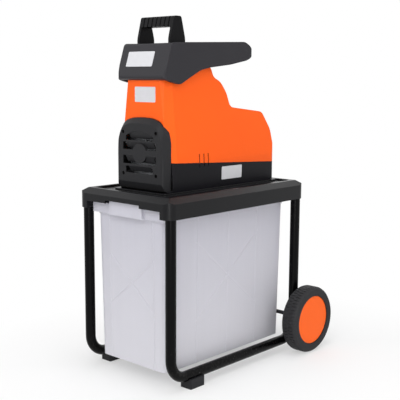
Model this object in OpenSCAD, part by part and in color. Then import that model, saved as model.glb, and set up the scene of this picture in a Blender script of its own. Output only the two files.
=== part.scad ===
// Electric roller shredder on a tube frame, with a pull-out collection box.
// Millimetres, +Z up, front toward -Y, origin on the ground under the middle of the outline.

/* [Deck] */
// Length of the deck, front to back
deck_l = 570; // [550:5:640]
// Width of the deck
deck_w = 350; // [340:2:400]
// Height of the lower edge of the deck skirt above the ground
deck_z = 455; // [430:5:500]
// Height of the upright part of the skirt
skirt_h = 40; // [36:1:50]
// Rise of the sloped shoulder above the skirt
shoulder_h = 14; // [12:1:18]
// Inward run of the sloped shoulder
shoulder_in = 20; // [14:1:24]
// Radius of the deck's upright corners
deck_r = 24; // [16:1:30]
// Wall of the deck moulding
deck_wall = 4; // [3:0.5:5]
// Depth of the gutter between the rim and the raised seat
gutter_h = 6; // [4:0.5:8]
// Width of the raised rim at the top of the shoulder
rim_w = 10; // [6:1:14]
// Height of the front skirt above the deck's lower edge, where the box slides out
front_cut_h = 20; // [18:1:24]
// Extra height of the notch in the front skirt for the grip of the box
notch_h = 8; // [6:1:10]

/* [Tube frame] */
// Outside diameter of the frame tube
tube_d = 28; // [24:1:32]
// Wall of the frame tube
tube_wall = 1.5; // [1:0.1:2]
// Bend radius of the tube's centre line
bend_r = 55; // [50:1:64]
// Height of the bottom rail's centre line
rail_z = 33; // [30:1:38]
// Deck wall outside the tube, on the long sides
socket_side = 3; // [2.5:0.5:6]
// Deck wall outside the tube, at the ends
socket_end = 8; // [5:0.5:12]
// Socket wall inside the tube
socket_in = 4; // [3:0.5:6]
// Length of a front foot
foot_l = 54; // [44:1:64]
// Width of a front foot
foot_w = 39; // [36:1:44]
// Height to which a foot wraps the tube
foot_wrap = 8; // [4:0.5:10]

/* [Wheels] */
// Outside diameter of a tyre
wheel_d = 196; // [180:2:220]
// Width of a tyre
tyre_w = 48; // [42:1:56]
// Diameter of the coloured wheel disc
disc_d = 143; // [130:1:150]
// Diameter of the axle
axle_d = 12; // [10:0.5:14]
// Gap between the frame tube and the tyre
wheel_gap = 14; // [12:1:24]
// Number of tread blocks
tread_n = 60; // [40:2:70]
// Depth of the tread grooves
tread_depth = 2.5; // [1.5:0.5:4]

/* [Collection box] */
// Height of the box floor above the ground
box_z = 41; // [38:1:60]
// Wall of the box
box_wall = 2.5; // [2:0.25:4]
// Inward lean of each side of the box, over its height
box_lean = 6; // [2:0.5:8]
// Radius of the box's upright corners
box_r = 16; // [12:1:24]
// Width of the hanging flange
flange_w = 8; // [6:0.5:10]
// Thickness of the hanging flange
flange_t = 3; // [2:0.5:4]
// Width of the pull grip
grip_w = 124; // [100:2:140]
// Depth of the pull grip's face
grip_h = 36; // [32:1:44]

/* [Body shells] */
// Distance from the deck's front edge to the face of the front cover
cover_setback = 64; // [58:1:70]
// Depth of the front cover
cover_depth = 31; // [27:1:36]
// Height of the front cover above the seat
cover_h = 193; // [186:1:200]
// Wall of the moulded shells
shell_wall = 3; // [2:0.25:4]
// Free space between the gear case and the shell
shell_gap = 4.5; // [3:0.5:10]
// Draft of the shell's sides in degrees
side_draft = 5; // [2:0.5:6]
// Height of the parting line above the seat, at the front
seam_front_h = 77; // [72:1:82]
// Height of the parting line above the seat, at the rear
seam_rear_h = 53; // [50:1:60]
// Height of the rear step above the seat
step_h = 217; // [212:1:230]
// Height of the neck under the hopper, above the seat
neck_h = 327; // [315:1:340]
// Free space behind the motor shaft, for the switch
rear_space = 88; // [82:1:100]

/* [Hopper and pusher] */
// Half of the hopper's width
hood_hw = 90; // [87:1:96]
// Height of the hopper's front rim above the neck
hood_rise = 59; // [54:1:66]
// Rise of the hopper's rim toward its rear tip
rim_rise = 11; // [0:1:16]
// Reach of the hopper behind the neck
hood_reach = 159; // [135:1:175]
// Wall of the hopper
hood_wall = 3; // [2:0.25:4]
// Width of the feed throat
throat_w = 116; // [110:1:120]
// Width of the pusher's handle
handle_w = 124; // [110:1:124]
// Height of the handle above the hopper's front rim
handle_h = 70; // [62:1:90]
// Height of the grip bar
bar_h = 27; // [20:1:30]

/* [Cutting roller] */
// Diameter over the cutting ribs
roller_d = 90; // [80:1:92]
// Length of the roller
roller_l = 74; // [68:1:80]
// Number of cutting ribs
rib_n = 8; // [6:1:10]
// Height of the roller's axis above the seat
roller_h = 146; // [140:1:152]
// Sideways offset of the roller's axis
roller_x = 10; // [6:0.5:14]
// Gap between the roller and the counter plate
nip_gap = 2; // [1:0.25:3]
// Diameter of the roller's shaft
roller_shaft_d = 25; // [20:1:28]
// Travel of the counter plate
plate_travel = 4.5; // [3:0.5:5]

/* [Gear train] */
// Tooth module of the first stage
first_m = 1; // [0.9:0.05:1.1]
// Tooth module of the second stage
second_m = 1.5; // [1.4:0.05:1.55]
// Teeth on both pinions
pinion_n = 12; // [12:1:14]
// Teeth on both large gears
gear_n = 84; // [80:1:86]
// Face width of the first stage
first_face = 12; // [8:1:14]
// Face width of the second stage
second_face = 18; // [14:1:22]
// Wall of the gear case
case_wall = 4; // [3:0.5:5]

/* [Motor] */
// Outside diameter of the stator
stator_d = 130; // [120:1:134]
// Length of the stator
stator_l = 80; // [70:1:90]
// Diameter of the rotor
rotor_d = 70; // [60:1:74]
// Diameter of the motor shaft and the layshaft
shaft_d = 15; // [15:0.5:17]
// Diameter of the cooling fan
fan_d = 110; // [90:1:120]

/* [Control panel] */
// Width of the control panel
panel_w = 120; // [112:1:130]
// Height of the control panel
panel_h = 66; // [60:1:70]
// Travel of the push buttons
button_travel = 3; // [2:0.5:4]

/* [Hidden] */
$fn = 64;

// Small clearances: running fit, gap between loose pieces, and overlap of cutting tools
run_gap = 0.05;
loose_gap = 0.4;
slide_gap = 0.3;
cut = 1;
// Larger than the whole machine, for cuts that go right through
far = 2000;

// Colours as the photograph shows them
orange = [1.0, 0.39, 0.12];
dark = [0.16, 0.16, 0.17];
black = [0.07, 0.07, 0.08];
milky = [0.80, 0.81, 0.84];
steel = [0.66, 0.67, 0.70];
alloy = [0.76, 0.77, 0.79];
brass = [0.80, 0.64, 0.30];
copper = [0.72, 0.42, 0.22];

// Frame and wheels
leg_x = deck_w / 2 - socket_side - tube_d / 2;
leg_dy = deck_l / 2 - socket_end - tube_d / 2;
axle_z = wheel_d / 2;
axle_rise = max(0, rail_z + bend_r - axle_z);
axle_dy = leg_dy - bend_r + sqrt(bend_r * bend_r - axle_rise * axle_rise);
deck_y = (deck_l / 2 - axle_dy - wheel_d / 2) / 2;
front_leg_y = deck_y - leg_dy;
rear_leg_y = deck_y + leg_dy;
axle_y = deck_y + axle_dy;
seat_z = deck_z + skirt_h + shoulder_h;
plate_z = seat_z - gutter_h;
socket_top = plate_z - deck_wall;
tube_top = deck_z + skirt_h - 3;
socket_x = leg_x - tube_d / 2 - socket_in;
socket_y = leg_dy - tube_d / 2 - socket_in;
foot_y = front_leg_y + bend_r + foot_l / 2;
foot_h = rail_z - tube_d / 2 + foot_wrap;
wheel_x = leg_x + tube_d / 2 + wheel_gap;
hub_r = axle_d / 2 + 9;
hub_lead = 4;
disc_t = 3;
disc_inset = 3;
disc_x = wheel_x + tyre_w - disc_inset - disc_t;
hub_end = disc_x - 10;
clip_t = 3;

// Fasteners
screw_d = 5;
head_d = 9;
head_h = 3;
leg_screw_z = deck_z + 20;
foot_screw_y = foot_y + 12;

// Collection box
flange_hw = socket_x - 2;
box_hw = flange_hw - flange_w;
box_top_z = deck_z + front_cut_h - 3;
box_front = deck_y - deck_l / 2 + 30;
box_rear = deck_y + socket_y - 4;
band_h = 32;
band_t = 1.5;
guide_t = 4;
ledge_z = box_top_z - flange_t - slide_gap;
ledge_in = box_hw + band_t + 1;
lip_out = 9;
rib_out = 0.8;
grip_top = deck_z + front_cut_h + notch_h - 2.5;
lip_low = grip_top - grip_h;
grip_front = box_front - 2 * lip_out;
notch_hw = grip_w / 2 + 3;

// Gear train: the case sets the width of the shells
pressure_angle = 25;
backlash = 0.15;
tip_gap = 3;
first_centres = first_m * (pinion_n + gear_n) / 2;
second_centres = second_m * (pinion_n + gear_n) / 2;
out_r = second_m * (gear_n / 2 + 1);
lay_r = first_m * (gear_n / 2 + 1);
out_case_r = out_r + tip_gap + case_wall;
lay_case_r = lay_r + tip_gap + case_wall;
roller_z = seat_z + roller_h;
lay_x = roller_x + 22;
lay_z = roller_z - sqrt(second_centres * second_centres - pow(lay_x - roller_x, 2));
motor_x = 0;
motor_z = lay_z + sqrt(first_centres * first_centres - pow(lay_x - motor_x, 2));
second_angle = atan2(lay_z - roller_z, lay_x - roller_x);
first_angle = atan2(motor_z - lay_z, motor_x - lay_x);

// Row of pieces from the front to the rear
cover_y = deck_y - deck_l / 2 + cover_setback;
cover_back = cover_y + cover_depth;
bearing_w = 12;
frame_wall = 6;
side_gap = 4;
frame_y = cover_back + 2;
chamber_y = frame_y + bearing_w;
roller_y = chamber_y + side_gap;
chamber_end = roller_y + roller_l + side_gap;
case_y = chamber_end + frame_wall;
case_in = case_y + bearing_w;
out_y = case_in + 6;
lay_y = out_y + second_face + 10;
case_end = lay_y + first_face + 6;
case_back = case_end + bearing_w;
winding_l = 18;
stator_y = case_back + winding_l + 6;
shield_y = stator_y + stator_l + winding_l + 4;
shield_t = 12;
fan_y = shield_y + shield_t + 6;
fan_w = 20;
shaft_end = fan_y + fan_w + 4;
rear_y = shaft_end + rear_space;
mid_y = roller_y + roller_l / 2;

// Body shells
floor_t = 4;
floor_z = seat_z + floor_t;
seam_z = seat_z + seam_front_h;
seam_front_y = cover_back;
seam_slope = (seam_front_h - seam_rear_h) / (rear_y - seam_front_y);
neck_z = seat_z + neck_h;
draft = tan(side_draft);
body_hw = roller_x + out_case_r + shell_gap + shell_wall + draft * (roller_z - seam_z);
neck_hw = body_hw - draft * (neck_z - seam_z);
base_hw = body_hw - 2;
body_r = 22;
body_front = cover_y + 17;
facet_y = cover_back + 15;
facet_slope = 0.42;
cover_slope = 0.2;
neck_chamfer = 19;
neck_front = cover_y + 17;
neck_rear = chamber_end + 72;
column_y = case_back + 62;
side_points = [
    [cover_y + 8, seat_z], [rear_y - 10, seat_z], [rear_y, seat_z + 10], [rear_y, seat_z + seam_rear_h],
    [rear_y - 20, seat_z + step_h - 67], [rear_y - 55, seat_z + step_h - 16],
    [column_y, seat_z + step_h], [column_y - 14, seat_z + step_h + 41], [column_y - 36, neck_z - 40],
    [neck_rear + 8, neck_z - 28],
    [neck_rear, neck_z], [neck_front, neck_z], [body_front, seam_z]
];
section_points = [
    [-base_hw, seat_z], [base_hw, seat_z], [body_hw, seam_z - 8], [body_hw, seam_z],
    [neck_hw, neck_z], [-neck_hw, neck_z], [-body_hw, seam_z], [-body_hw, seam_z - 8]
];
cover_top = seat_z + cover_h;
cover_side = [
    [body_hw + 4, floor_z], [body_hw + 4, cover_top - 120], [body_hw - 4, cover_top - 86],
    [body_hw - 8, cover_top - 60], [body_hw - 12.5, cover_top - 40], [body_hw - 21, cover_top - 20],
    [body_hw - 35, cover_top - 8], [body_hw - 60, cover_top - 1.5]
];
cover_left = [for (i = [len(cover_side) - 1:-1:0]) [-cover_side[i].x, cover_side[i].y]];
cover_outline = eased(concat(cover_side, [[0, cover_top]], cover_left), 12);
corner_low_z = cover_top - 20;

// Front cover: its sloped toe and border, the louvres as low and high edge and half width
toe_points = [
    [cover_y + 8, floor_z], [cover_back + 20, floor_z], [cover_back + 20, cover_top + 20],
    [cover_y - 8, cover_top + 20], [cover_y - 8, floor_z + 36]
];
border_in = 5;
border_drop = 12;
border_l = 11;
cover_hw = body_hw - cover_slope * (facet_y - cover_y) + 2;
cover_r = 9;
louvres = [[46, 64, 52], [70, 92, 63], [108, 128, 63], [133, 158, 52]];
louvre_gap = 10;
louvre_arch_r = 100;
boss_z = seat_z + 99;
boss_r = 26;

// Cutting chamber and counter plate
chamber_hw = 62;
frame_hw = chamber_hw + frame_wall;
frame_top = roller_z + roller_d / 2 + 15;
roller_bearing_d = roller_shaft_d + 22;
plate_x = 6 - chamber_hw;
plate_y = chamber_y + 1.5;
plate_l = chamber_end - chamber_y - 3;
plate_low = roller_z - 30;
plate_high = roller_z + 42;
adjust_d = 10;
adjust_z = roller_z + 4;
adjust_end = plate_x + 6;
knob_d = 42;
knob_l = 24;
knob_x = -(body_hw - draft * (adjust_z - knob_d / 2 - seam_z)) - 1;

// Hopper and pusher
throat_y = chamber_y + 1 + hood_wall;
throat_l = chamber_end - chamber_y - 2 - 2 * hood_wall;
duct_z = roller_z + roller_d / 2 + 6;
ledge_h = 18;
feed_z = neck_z + ledge_h;
feed_hw = throat_w / 2 + 10;
rim_z = neck_z + hood_rise;
tip_y = neck_rear + hood_reach;
hood_front = cover_y + 3;
hood_points = [
    [hood_front, neck_z - 33], [hood_front + 20, neck_z - 40], [hood_front + 60, neck_z - 48],
    [neck_rear - 102, neck_z - 31], [neck_rear - 58, neck_z - 10], [neck_rear - 22, neck_z - 3],
    [neck_rear + 63, neck_z + 6], [tip_y - 24, neck_z + 19], [tip_y - 7, neck_z + 27],
    [tip_y, neck_z + 38], [tip_y - 2, neck_z + 50], [tip_y - 14, rim_z + rim_rise - 9],
    [tip_y - 34, rim_z + rim_rise], [hood_front + 30, rim_z]
];
feed_points = [
    [throat_y - 10, feed_z], [throat_y + throat_l + 10, feed_z],
    [tip_y - 9, neck_z + 46], [tip_y - 22, rim_z + rim_rise - 6], [tip_y - 34, rim_z + rim_rise + 20],
    [hood_front + 25, rim_z + 20], [hood_front + 33, rim_z + 3]
];
feed_section = [
    [-feed_hw, feed_z], [feed_hw, feed_z], [hood_hw - hood_wall, feed_z + 26],
    [hood_hw - hood_wall, far], [hood_wall - hood_hw, far], [hood_wall - hood_hw, feed_z + 26]
];
hood_r = 14;
tip_r = 8;
handle_top = rim_z + handle_h;
handle_t = 8;
pusher_y = throat_y + throat_l / 2;
handle_y = pusher_y - 4;
pusher_low = duct_z + 34;
finger_low = rim_z - 9;
stop_t = 4;

// Motor fits
bolt_d = 6;
post_d = 14;
bolt_r = stator_d / 2 - post_d / 2 - 1.5;
winding_r = bolt_r - post_d / 2 - 1;
air_gap = 0.6;
shaft_bearing_d = shaft_d + 17;
shaft_bearing_w = 9;

// Control panel: its own frame has +Z straight out of the sloped rear face and +Y down that face
panel_tilt = atan2(20, step_h - 67 - seam_rear_h);
panel_z = seat_z + (step_h - 67 + seam_rear_h) / 2;
panel_y = rear_y - 10;
panel_t = 3;
panel_depth = 42;
button_w = 20;
button_h = 26;
button_out = button_travel + 3;
button_in = 14;
panel_side = 6;
panel_wall = 3;
reset_d = 12;
selector_d = 34;
on_x = panel_side + panel_wall + 2 + button_w / 2 - panel_w / 2;
off_x = on_x + button_w + 4;
reset_x = off_x + button_w / 2 + reset_d / 2 + 6;
selector_x = reset_x + reset_d / 2 + selector_d / 2 + 6;
spindle_d = 8;
inlet_x = 45;
inlet_z = seat_z + 28;
inlet_w = 42;
inlet_h = 28;
inlet_depth = 30;
cap_d = 36;
cap_l = 80;
cap_x = -60;
cap_y = case_back + 34;
cap_z = floor_z + 3 + cap_d / 2;

// Screw places, as [x, y] on the plan
pillar_d = 13;
pillar_x = base_hw - 11;
pillar_places = [for (x = [-1, 1]) for (y = [frame_y + 40, shaft_end + 8]) [x * pillar_x, y]];
deck_bolt_places = [for (x = [-1, 1]) for (y = [chamber_end - 16, shield_y + 18]) [x * (base_hw - 8), y]];
hopper_screw_x = neck_hw - neck_chamfer - head_d;
hopper_screw_places = [for (x = [-1, 1]) for (y = [neck_front + 16, neck_rear - 18]) [x * hopper_screw_x, y]];
cover_screw_places = [for (x = [-chamber_hw, chamber_hw]) for (z = [seat_z + 43, seat_z + 154]) [x, z]];
motor_bolt_places = [for (a = [0:90:270]) [motor_x + bolt_r * cos(a), motor_z + bolt_r * sin(a)]];
case_screw_places = [
    for (a = [20, 110, 180]) [roller_x + (out_case_r + 1) * cos(a), roller_z + (out_case_r + 1) * sin(a)]
];

// Outline and placing helpers
function unit(v) = v / norm(v);
function left_of(v) = [-v.y, v.x];

// Counter-clockwise outline with every edge moved inward by d
function inset(points, d) = let (n = len(points)) [
    for (i = [0:n - 1])
        let (a = points[(i + n - 1) % n], p = points[i], b = points[(i + 1) % n])
        let (in_edge = left_of(unit(p - a)), out_edge = left_of(unit(b - p)))
        p + d * (in_edge + out_edge) / (1 + in_edge * out_edge)
];

// Outline with every corner eased into a curve that starts t before it
function eased(points, t, steps = 4) = let (n = len(points)) [
    for (i = [0:n - 1])
        let (a = points[(i + n - 1) % n], p = points[i], b = points[(i + 1) % n])
        let (ta = min(t, norm(p - a) * 0.45), tb = min(t, norm(b - p) * 0.45))
        let (start = p + ta * unit(a - p), end = p + tb * unit(b - p))
        for (k = [0:steps])
            let (s = k / steps)
            (1 - s) * (1 - s) * start + 2 * s * (1 - s) * p + s * s * end
];

// Outline in Y and Z, swept along X
module along_x(x0, x1) {
    translate([x0, 0, 0])
        rotate([90, 0, 90])
            linear_extrude(x1 - x0)
                children();
}

// Outline in X and Z, swept along Y
module along_y(y0, y1) {
    translate([0, y1, 0])
        rotate([90, 0, 0])
            linear_extrude(y1 - y0)
                children();
}

module rod_x(d, x0, x1) {
    translate([x0, 0, 0])
        rotate([0, 90, 0])
            cylinder(d = d, h = x1 - x0);
}

module rod_y(d, y0, y1) {
    translate([0, y0, 0])
        rotate([-90, 0, 0])
            cylinder(d = d, h = y1 - y0);
}

module mirrored_x() {
    children();
    mirror([1, 0, 0])
        children();
}

// Rectangle with round corners, between two X and two Y values
module round_rect(x0, x1, y0, y1, r) {
    translate([x0 + r, y0])
        square([x1 - x0 - 2 * r, y1 - y0]);
    translate([x0, y0 + r])
        square([x1 - x0, y1 - y0 - 2 * r]);
    for (x = [x0 + r, x1 - r])
        for (y = [y0 + r, y1 - r])
            translate([x, y])
                circle(r);
}

module ring(d_out, d_in) {
    difference() {
        circle(d = d_out);
        circle(d = d_in);
    }
}

// Block between two corners
module block(low, high) {
    translate(low)
        cube(high - low);
}

// Pan-head screw along +Z, head below the origin
module screw(length, d = screw_d) {
    cylinder(d = d, h = length);
    translate([0, 0, -head_h])
        cylinder(d = head_d, h = head_h);
}

// Ball bearing along +Y as one ring with a groove in each face
module bearing(d_in, d_out, w) {
    rotate([-90, 0, 0])
        difference() {
            cylinder(d = d_out, h = w);
            translate([0, 0, -cut])
                cylinder(d = d_in, h = w + 2 * cut);
            for (z = [-cut, w - 1])
                translate([0, 0, z])
                    linear_extrude(cut + 1)
                        ring((d_in + d_out) / 2 + 5, (d_in + d_out) / 2 - 5);
        }
}

// Involute angle in degrees at radius r over a base circle rb
function involute_angle(rb, r) = let (c = min(1, rb / r)) tan(acos(c)) * 180 / PI - acos(c);

// Spur gear outline with a tooth centred on +X
function gear_points(m, n) = let (
    pitch_r = m * n / 2,
    base_r = pitch_r * cos(pressure_angle),
    tip_r = pitch_r + m,
    root_r = pitch_r - 1.25 * m,
    half = (PI * m / 2 - backlash) / (2 * pitch_r) * 180 / PI + involute_angle(base_r, pitch_r),
    start_r = max(base_r, root_r),
    radii = [for (k = [0:3]) start_r + (tip_r - start_r) * k / 3],
    sides = [for (r = radii) [r, half - involute_angle(base_r, r)]],
    flank = root_r < base_r ? concat([[root_r, half]], sides) : sides,
    count = len(flank)
) [
    for (tooth = [0:n - 1])
        for (k = [0:2 * count - 1])
            let (side = k < count ? -1 : 1, p = flank[k < count ? k : 2 * count - 1 - k])
            let (a = 360 * tooth / n + side * p[1])
            p[0] * [cos(a), sin(a)]
];

// Gear swept along Y at a place in X and Z, with its first tooth at angle a
module gear(m, n, x, z, a, y0, y1) {
    along_y(y0, y1)
        translate([x, z])
            rotate(a)
                polygon(gear_points(m, n));
}

// Deck: a tray with a sloped shoulder, a gutter round a raised seat, and corner sockets
module deck_form(w) {
    hw = deck_w / 2 - w;
    hl = deck_l / 2 - w;
    top = seat_z - w;
    knee = deck_z + skirt_h - w * shoulder_in / (shoulder_in + shoulder_h);
    translate([0, deck_y, 0])
        intersection() {
            translate([0, 0, deck_z])
                linear_extrude(top - deck_z)
                    round_rect(-hw, hw, -hl, hl, deck_r - w);
            along_y(-far, far)
                polygon([[-hw, deck_z], [hw, deck_z], [hw, knee], [hw - shoulder_in, top],
                    [shoulder_in - hw, top], [-hw, knee]]);
            along_x(-far, far)
                polygon([[-hl, deck_z], [hl, deck_z], [hl, knee], [hl - shoulder_in, top],
                    [shoulder_in - hl, top], [-hl, knee]]);
        }
}

// Chip opening through the deck and the base floor
module chip_opening(grow) {
    block([-chamber_hw - grow, chamber_y - grow, deck_z], [chamber_hw + grow, chamber_end + grow, far]);
}

module gutter() {
    inner_w = deck_w / 2 - shoulder_in - rim_w;
    inner_l = deck_l / 2 - shoulder_in - rim_w;
    translate([0, 0, plate_z])
        linear_extrude(far)
            difference() {
                translate([0, deck_y])
                    round_rect(-inner_w, inner_w, -inner_l, inner_l, deck_r / 2);
                round_rect(-base_hw - 6, base_hw + 6, cover_y - 4, rear_y + 6, deck_r / 2);
            }
}

module deck() {
    color(dark)
        difference() {
            union() {
                difference() {
                    deck_form(0);
                    intersection() {
                        deck_form(deck_wall);
                        block([-far, -far, -far], [far, far, socket_top]);
                    }
                    gutter();
                    translate([0, 0, deck_z - cut])
                        front_cuts();
                }
                intersection() {
                    deck_form(0);
                    corner_blocks();
                }
                box_guides();
                translate([0, 0, socket_top])
                    chip_frame();
            }
            chip_opening(0);
            leg_bores();
            for (p = deck_bolt_places)
                translate([p.x, p.y, deck_z])
                    cylinder(d = screw_d + 1, h = far);
        }
}

// Cuts that let the box and its grip slide out under the front skirt
module front_cuts() {
    y0 = deck_y - deck_l / 2 - cut;
    block([-socket_x, y0, 0], [socket_x, y0 + deck_wall + 2 * cut, front_cut_h + cut]);
    block([-notch_hw, y0, 0], [notch_hw, y0 + deck_wall + 2 * cut, front_cut_h + notch_h + cut]);
}

module corner_blocks() {
    for (x = [-1, 1])
        for (y = [-1, 1])
            translate([x * (socket_x + far / 2), deck_y + y * (socket_y + far / 2), deck_z + far / 2])
                cube(far, center = true);
}

// Stiffening frame under the deck, round the chip opening
module chip_frame() {
    translate([0, 0, -8])
        linear_extrude(8 + cut)
            round_rect(-chamber_hw - 6, chamber_hw + 6, chamber_y - 6, chamber_end + 6, 4);
}

// Two angled rails under the deck that carry the flange of the box
module box_guides() {
    guide_x = flange_hw + loose_gap;
    mirrored_x()
        along_y(box_front + 2, box_rear)
            polygon([[ledge_in, ledge_z - guide_t], [guide_x + guide_t, ledge_z - guide_t],
                [guide_x + guide_t, socket_top + cut], [guide_x, socket_top + cut],
                [guide_x, ledge_z], [ledge_in, ledge_z]]);
}

module leg_bores() {
    for (x = [-leg_x, leg_x])
        for (y = [front_leg_y, rear_leg_y])
            translate([x, y, deck_z - cut])
                cylinder(d = tube_d, h = tube_top - deck_z + cut);
    leg_screw_holes(screw_d);
}

// Places the children at each leg screw, pointing from the inner face into the tube
module at_leg_screws() {
    for (x = [-leg_x, leg_x])
        for (side = [-1, 1])
            translate([x, deck_y + side * socket_y, leg_screw_z])
                rotate([-90 * side, 0, 0])
                    children();
}

module leg_screw_holes(d) {
    at_leg_screws()
        translate([0, 0, -cut])
            cylinder(d = d, h = 16);
}

module leg_screws() {
    color(steel)
        at_leg_screws()
            screw(12);
}

// One side frame: two legs and a bottom rail bent from one tube
module frame_tube(x) {
    leg_low = rail_z + bend_r;
    color(black)
        difference() {
            translate([x, 0, 0]) {
                for (y = [front_leg_y, rear_leg_y])
                    translate([0, y, leg_low])
                        linear_extrude(tube_top - leg_low)
                            ring(tube_d, tube_d - 2 * tube_wall);
                translate([0, front_leg_y + bend_r, rail_z])
                    rotate([-90, 0, 0])
                        linear_extrude(2 * (leg_dy - bend_r))
                            ring(tube_d, tube_d - 2 * tube_wall);
                for (side = [0, 1])
                    translate([0, side ? rear_leg_y - bend_r : front_leg_y + bend_r, leg_low])
                        rotate([0, 90, 0])
                            rotate([0, 0, side ? 0 : -90])
                                rotate_extrude(angle = 90)
                                    translate([bend_r, 0])
                                        ring(tube_d, tube_d - 2 * tube_wall);
            }
            translate([0, axle_y, axle_z])
                rod_x(axle_d, -far, far);
            leg_screw_holes(screw_d);
            translate([x, foot_screw_y, 0])
                cylinder(d = screw_d, h = rail_z);
        }
}

module frame_tube_left() {
    frame_tube(-leg_x);
}

module frame_tube_right() {
    frame_tube(leg_x);
}

// Front feet: blocks with a saddle for the rail
module front_feet() {
    color(black)
        for (x = [-leg_x, leg_x])
            difference() {
                translate([x, foot_y, 0])
                    linear_extrude(foot_h)
                        round_rect(-foot_w / 2, foot_w / 2, -foot_l / 2, foot_l / 2, 4);
                translate([x, 0, rail_z])
                    rod_y(tube_d, foot_y - foot_l, foot_y + foot_l);
                translate([x, foot_screw_y, -cut])
                    cylinder(d = screw_d, h = foot_h);
                translate([x, foot_screw_y, -cut])
                    cylinder(d = head_d + 1, h = head_h + 5 + cut);
            }
}

module foot_screws() {
    color(steel)
        for (x = [-leg_x, leg_x])
            translate([x, foot_screw_y, head_h + 5])
                screw(rail_z - tube_d / 2 - head_h - 5 + 8);
}

// Axle, its spacers against the frame tubes and its end clips
module wheel_axle() {
    color(steel)
        translate([0, axle_y, axle_z])
            rod_x(axle_d, -hub_end - clip_t - 4, hub_end + clip_t + 4);
}

module axle_spacers() {
    color(black)
        mirrored_x()
            translate([leg_x + tube_d / 2, axle_y, axle_z])
                rotate([0, 90, 0])
                    linear_extrude(wheel_gap - hub_lead - loose_gap)
                        ring(axle_d + 8, axle_d);
}

module axle_clips() {
    color(steel)
        mirrored_x()
            translate([hub_end + loose_gap, axle_y, axle_z])
                rotate([0, 90, 0])
                    linear_extrude(clip_t)
                        ring(axle_d + 10, axle_d);
}

// Wheel pieces are drawn on the right and mirrored for the left
module at_wheel() {
    translate([wheel_x, axle_y, axle_z])
        rotate([0, 90, 0])
            children();
}

module tyre() {
    r = wheel_d / 2;
    r_in = disc_d / 2;
    shoulder = 7;
    color(black)
        at_wheel()
            difference() {
                rotate_extrude()
                    polygon([[r_in, 1], [r_in + 6, 0], [r - shoulder, 0], [r - 2, shoulder - 2],
                        [r, shoulder + 3], [r, tyre_w - shoulder - 3], [r - 2, tyre_w - shoulder + 2],
                        [r - shoulder, tyre_w], [r_in + 6, tyre_w], [r_in, tyre_w - 1]]);
                for (k = [0:tread_n - 1])
                    rotate(360 * k / tread_n)
                        block([r - tread_depth, -1.2, -cut], [r + cut, 1.2, tyre_w * 0.46]);
                for (k = [0:tread_n - 1])
                    rotate(360 * (k + 0.5) / tread_n)
                        block([r - tread_depth, -1.2, tyre_w * 0.54], [r + cut, 1.2, tyre_w + cut]);
            }
}

module wheel_rim() {
    r = disc_d / 2;
    color(dark)
        at_wheel()
            difference() {
                rotate_extrude()
                    polygon([[axle_d / 2 + run_gap, -hub_lead], [hub_r, -hub_lead], [hub_r, 12],
                        [r - 8, 16], [r - 8, 2], [r, 2], [r, disc_x - wheel_x], [r - 8, disc_x - wheel_x],
                        [r - 8, 20], [hub_r, 17], [hub_r, hub_end - wheel_x],
                        [axle_d / 2 + run_gap, hub_end - wheel_x]]);
                for (k = [0:5])
                    rotate(60 * k)
                        translate([(hub_r + r - 8) / 2, 0, -hub_lead])
                            cylinder(d = 22, h = tyre_w);
            }
}

// Coloured cover disc, pressed into the outer side of the tyre
module wheel_disc() {
    r = disc_d / 2;
    color(orange)
        translate([disc_x - wheel_x, 0, 0])
            at_wheel()
                rotate_extrude()
                    polygon([[0, 0], [r, 0], [r, disc_t - 1], [r - 2, disc_t], [0, disc_t]]);
}

module tyre_left() {
    mirror([1, 0, 0])
        tyre();
}

module tyre_right() {
    tyre();
}

module wheel_rim_left() {
    mirror([1, 0, 0])
        wheel_rim();
}

module wheel_rim_right() {
    wheel_rim();
}

module wheel_disc_left() {
    mirror([1, 0, 0])
        wheel_disc();
}

module wheel_disc_right() {
    wheel_disc();
}

// Thin slab of the box's plan at height z, shrunk by w from the outside
module box_slab(z, lean, w) {
    translate([0, 0, z])
        linear_extrude(0.01)
            round_rect(-box_hw + lean + w, box_hw - lean - w, box_front + lean + w,
                box_rear - lean - w, box_r - w, $fn = 32);
}

// Tapered tub, grown outward by a negative w
module box_form(w, z0, z1) {
    hull() {
        box_slab(z0, box_lean, w);
        box_slab(z1, 0, w);
    }
}

module collection_box() {
    color(milky)
        difference() {
            union() {
                box_form(0, box_z, box_top_z - 0.01);
                intersection() {
                    box_form(-rib_out, box_z, box_top_z - 0.01);
                    box_ribs();
                }
                translate([0, 0, box_top_z - flange_t])
                    linear_extrude(flange_t)
                        round_rect(-flange_hw, flange_hw, box_front - lip_out, box_rear + 3, 4);
                block([-flange_hw, box_front - lip_out, lip_low],
                    [flange_hw, box_front - lip_out + box_wall, box_top_z]);
                translate([0, 0, box_top_z - band_h])
                    linear_extrude(band_h)
                        round_rect(-box_hw - band_t, box_hw + band_t, box_front - band_t,
                            box_rear + band_t, box_r);
                block([-grip_w / 2, grip_front, lip_low], [grip_w / 2, box_front + 4, grip_top]);
            }
            box_form(box_wall, box_z + box_wall, box_top_z + cut);
            block([-grip_w / 2 + box_wall, grip_front + box_wall, 0],
                [grip_w / 2 - box_wall, box_front - box_wall, grip_top - box_wall]);
            block([-grip_w / 2 - cut, box_front - 3 - cut, box_top_z], [grip_w / 2 + cut, far, far]);
        }
}

// Faint stiffening ribs on the sides and the ends of the box
module box_ribs() {
    along_x(-far, far)
        rib_pattern((box_front + box_rear) / 2, (box_rear - box_front) / 4, [-1, 0, 1]);
    along_y(-far, far)
        rib_pattern(0, box_hw * 0.64, [-1, 1]);
}

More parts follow.
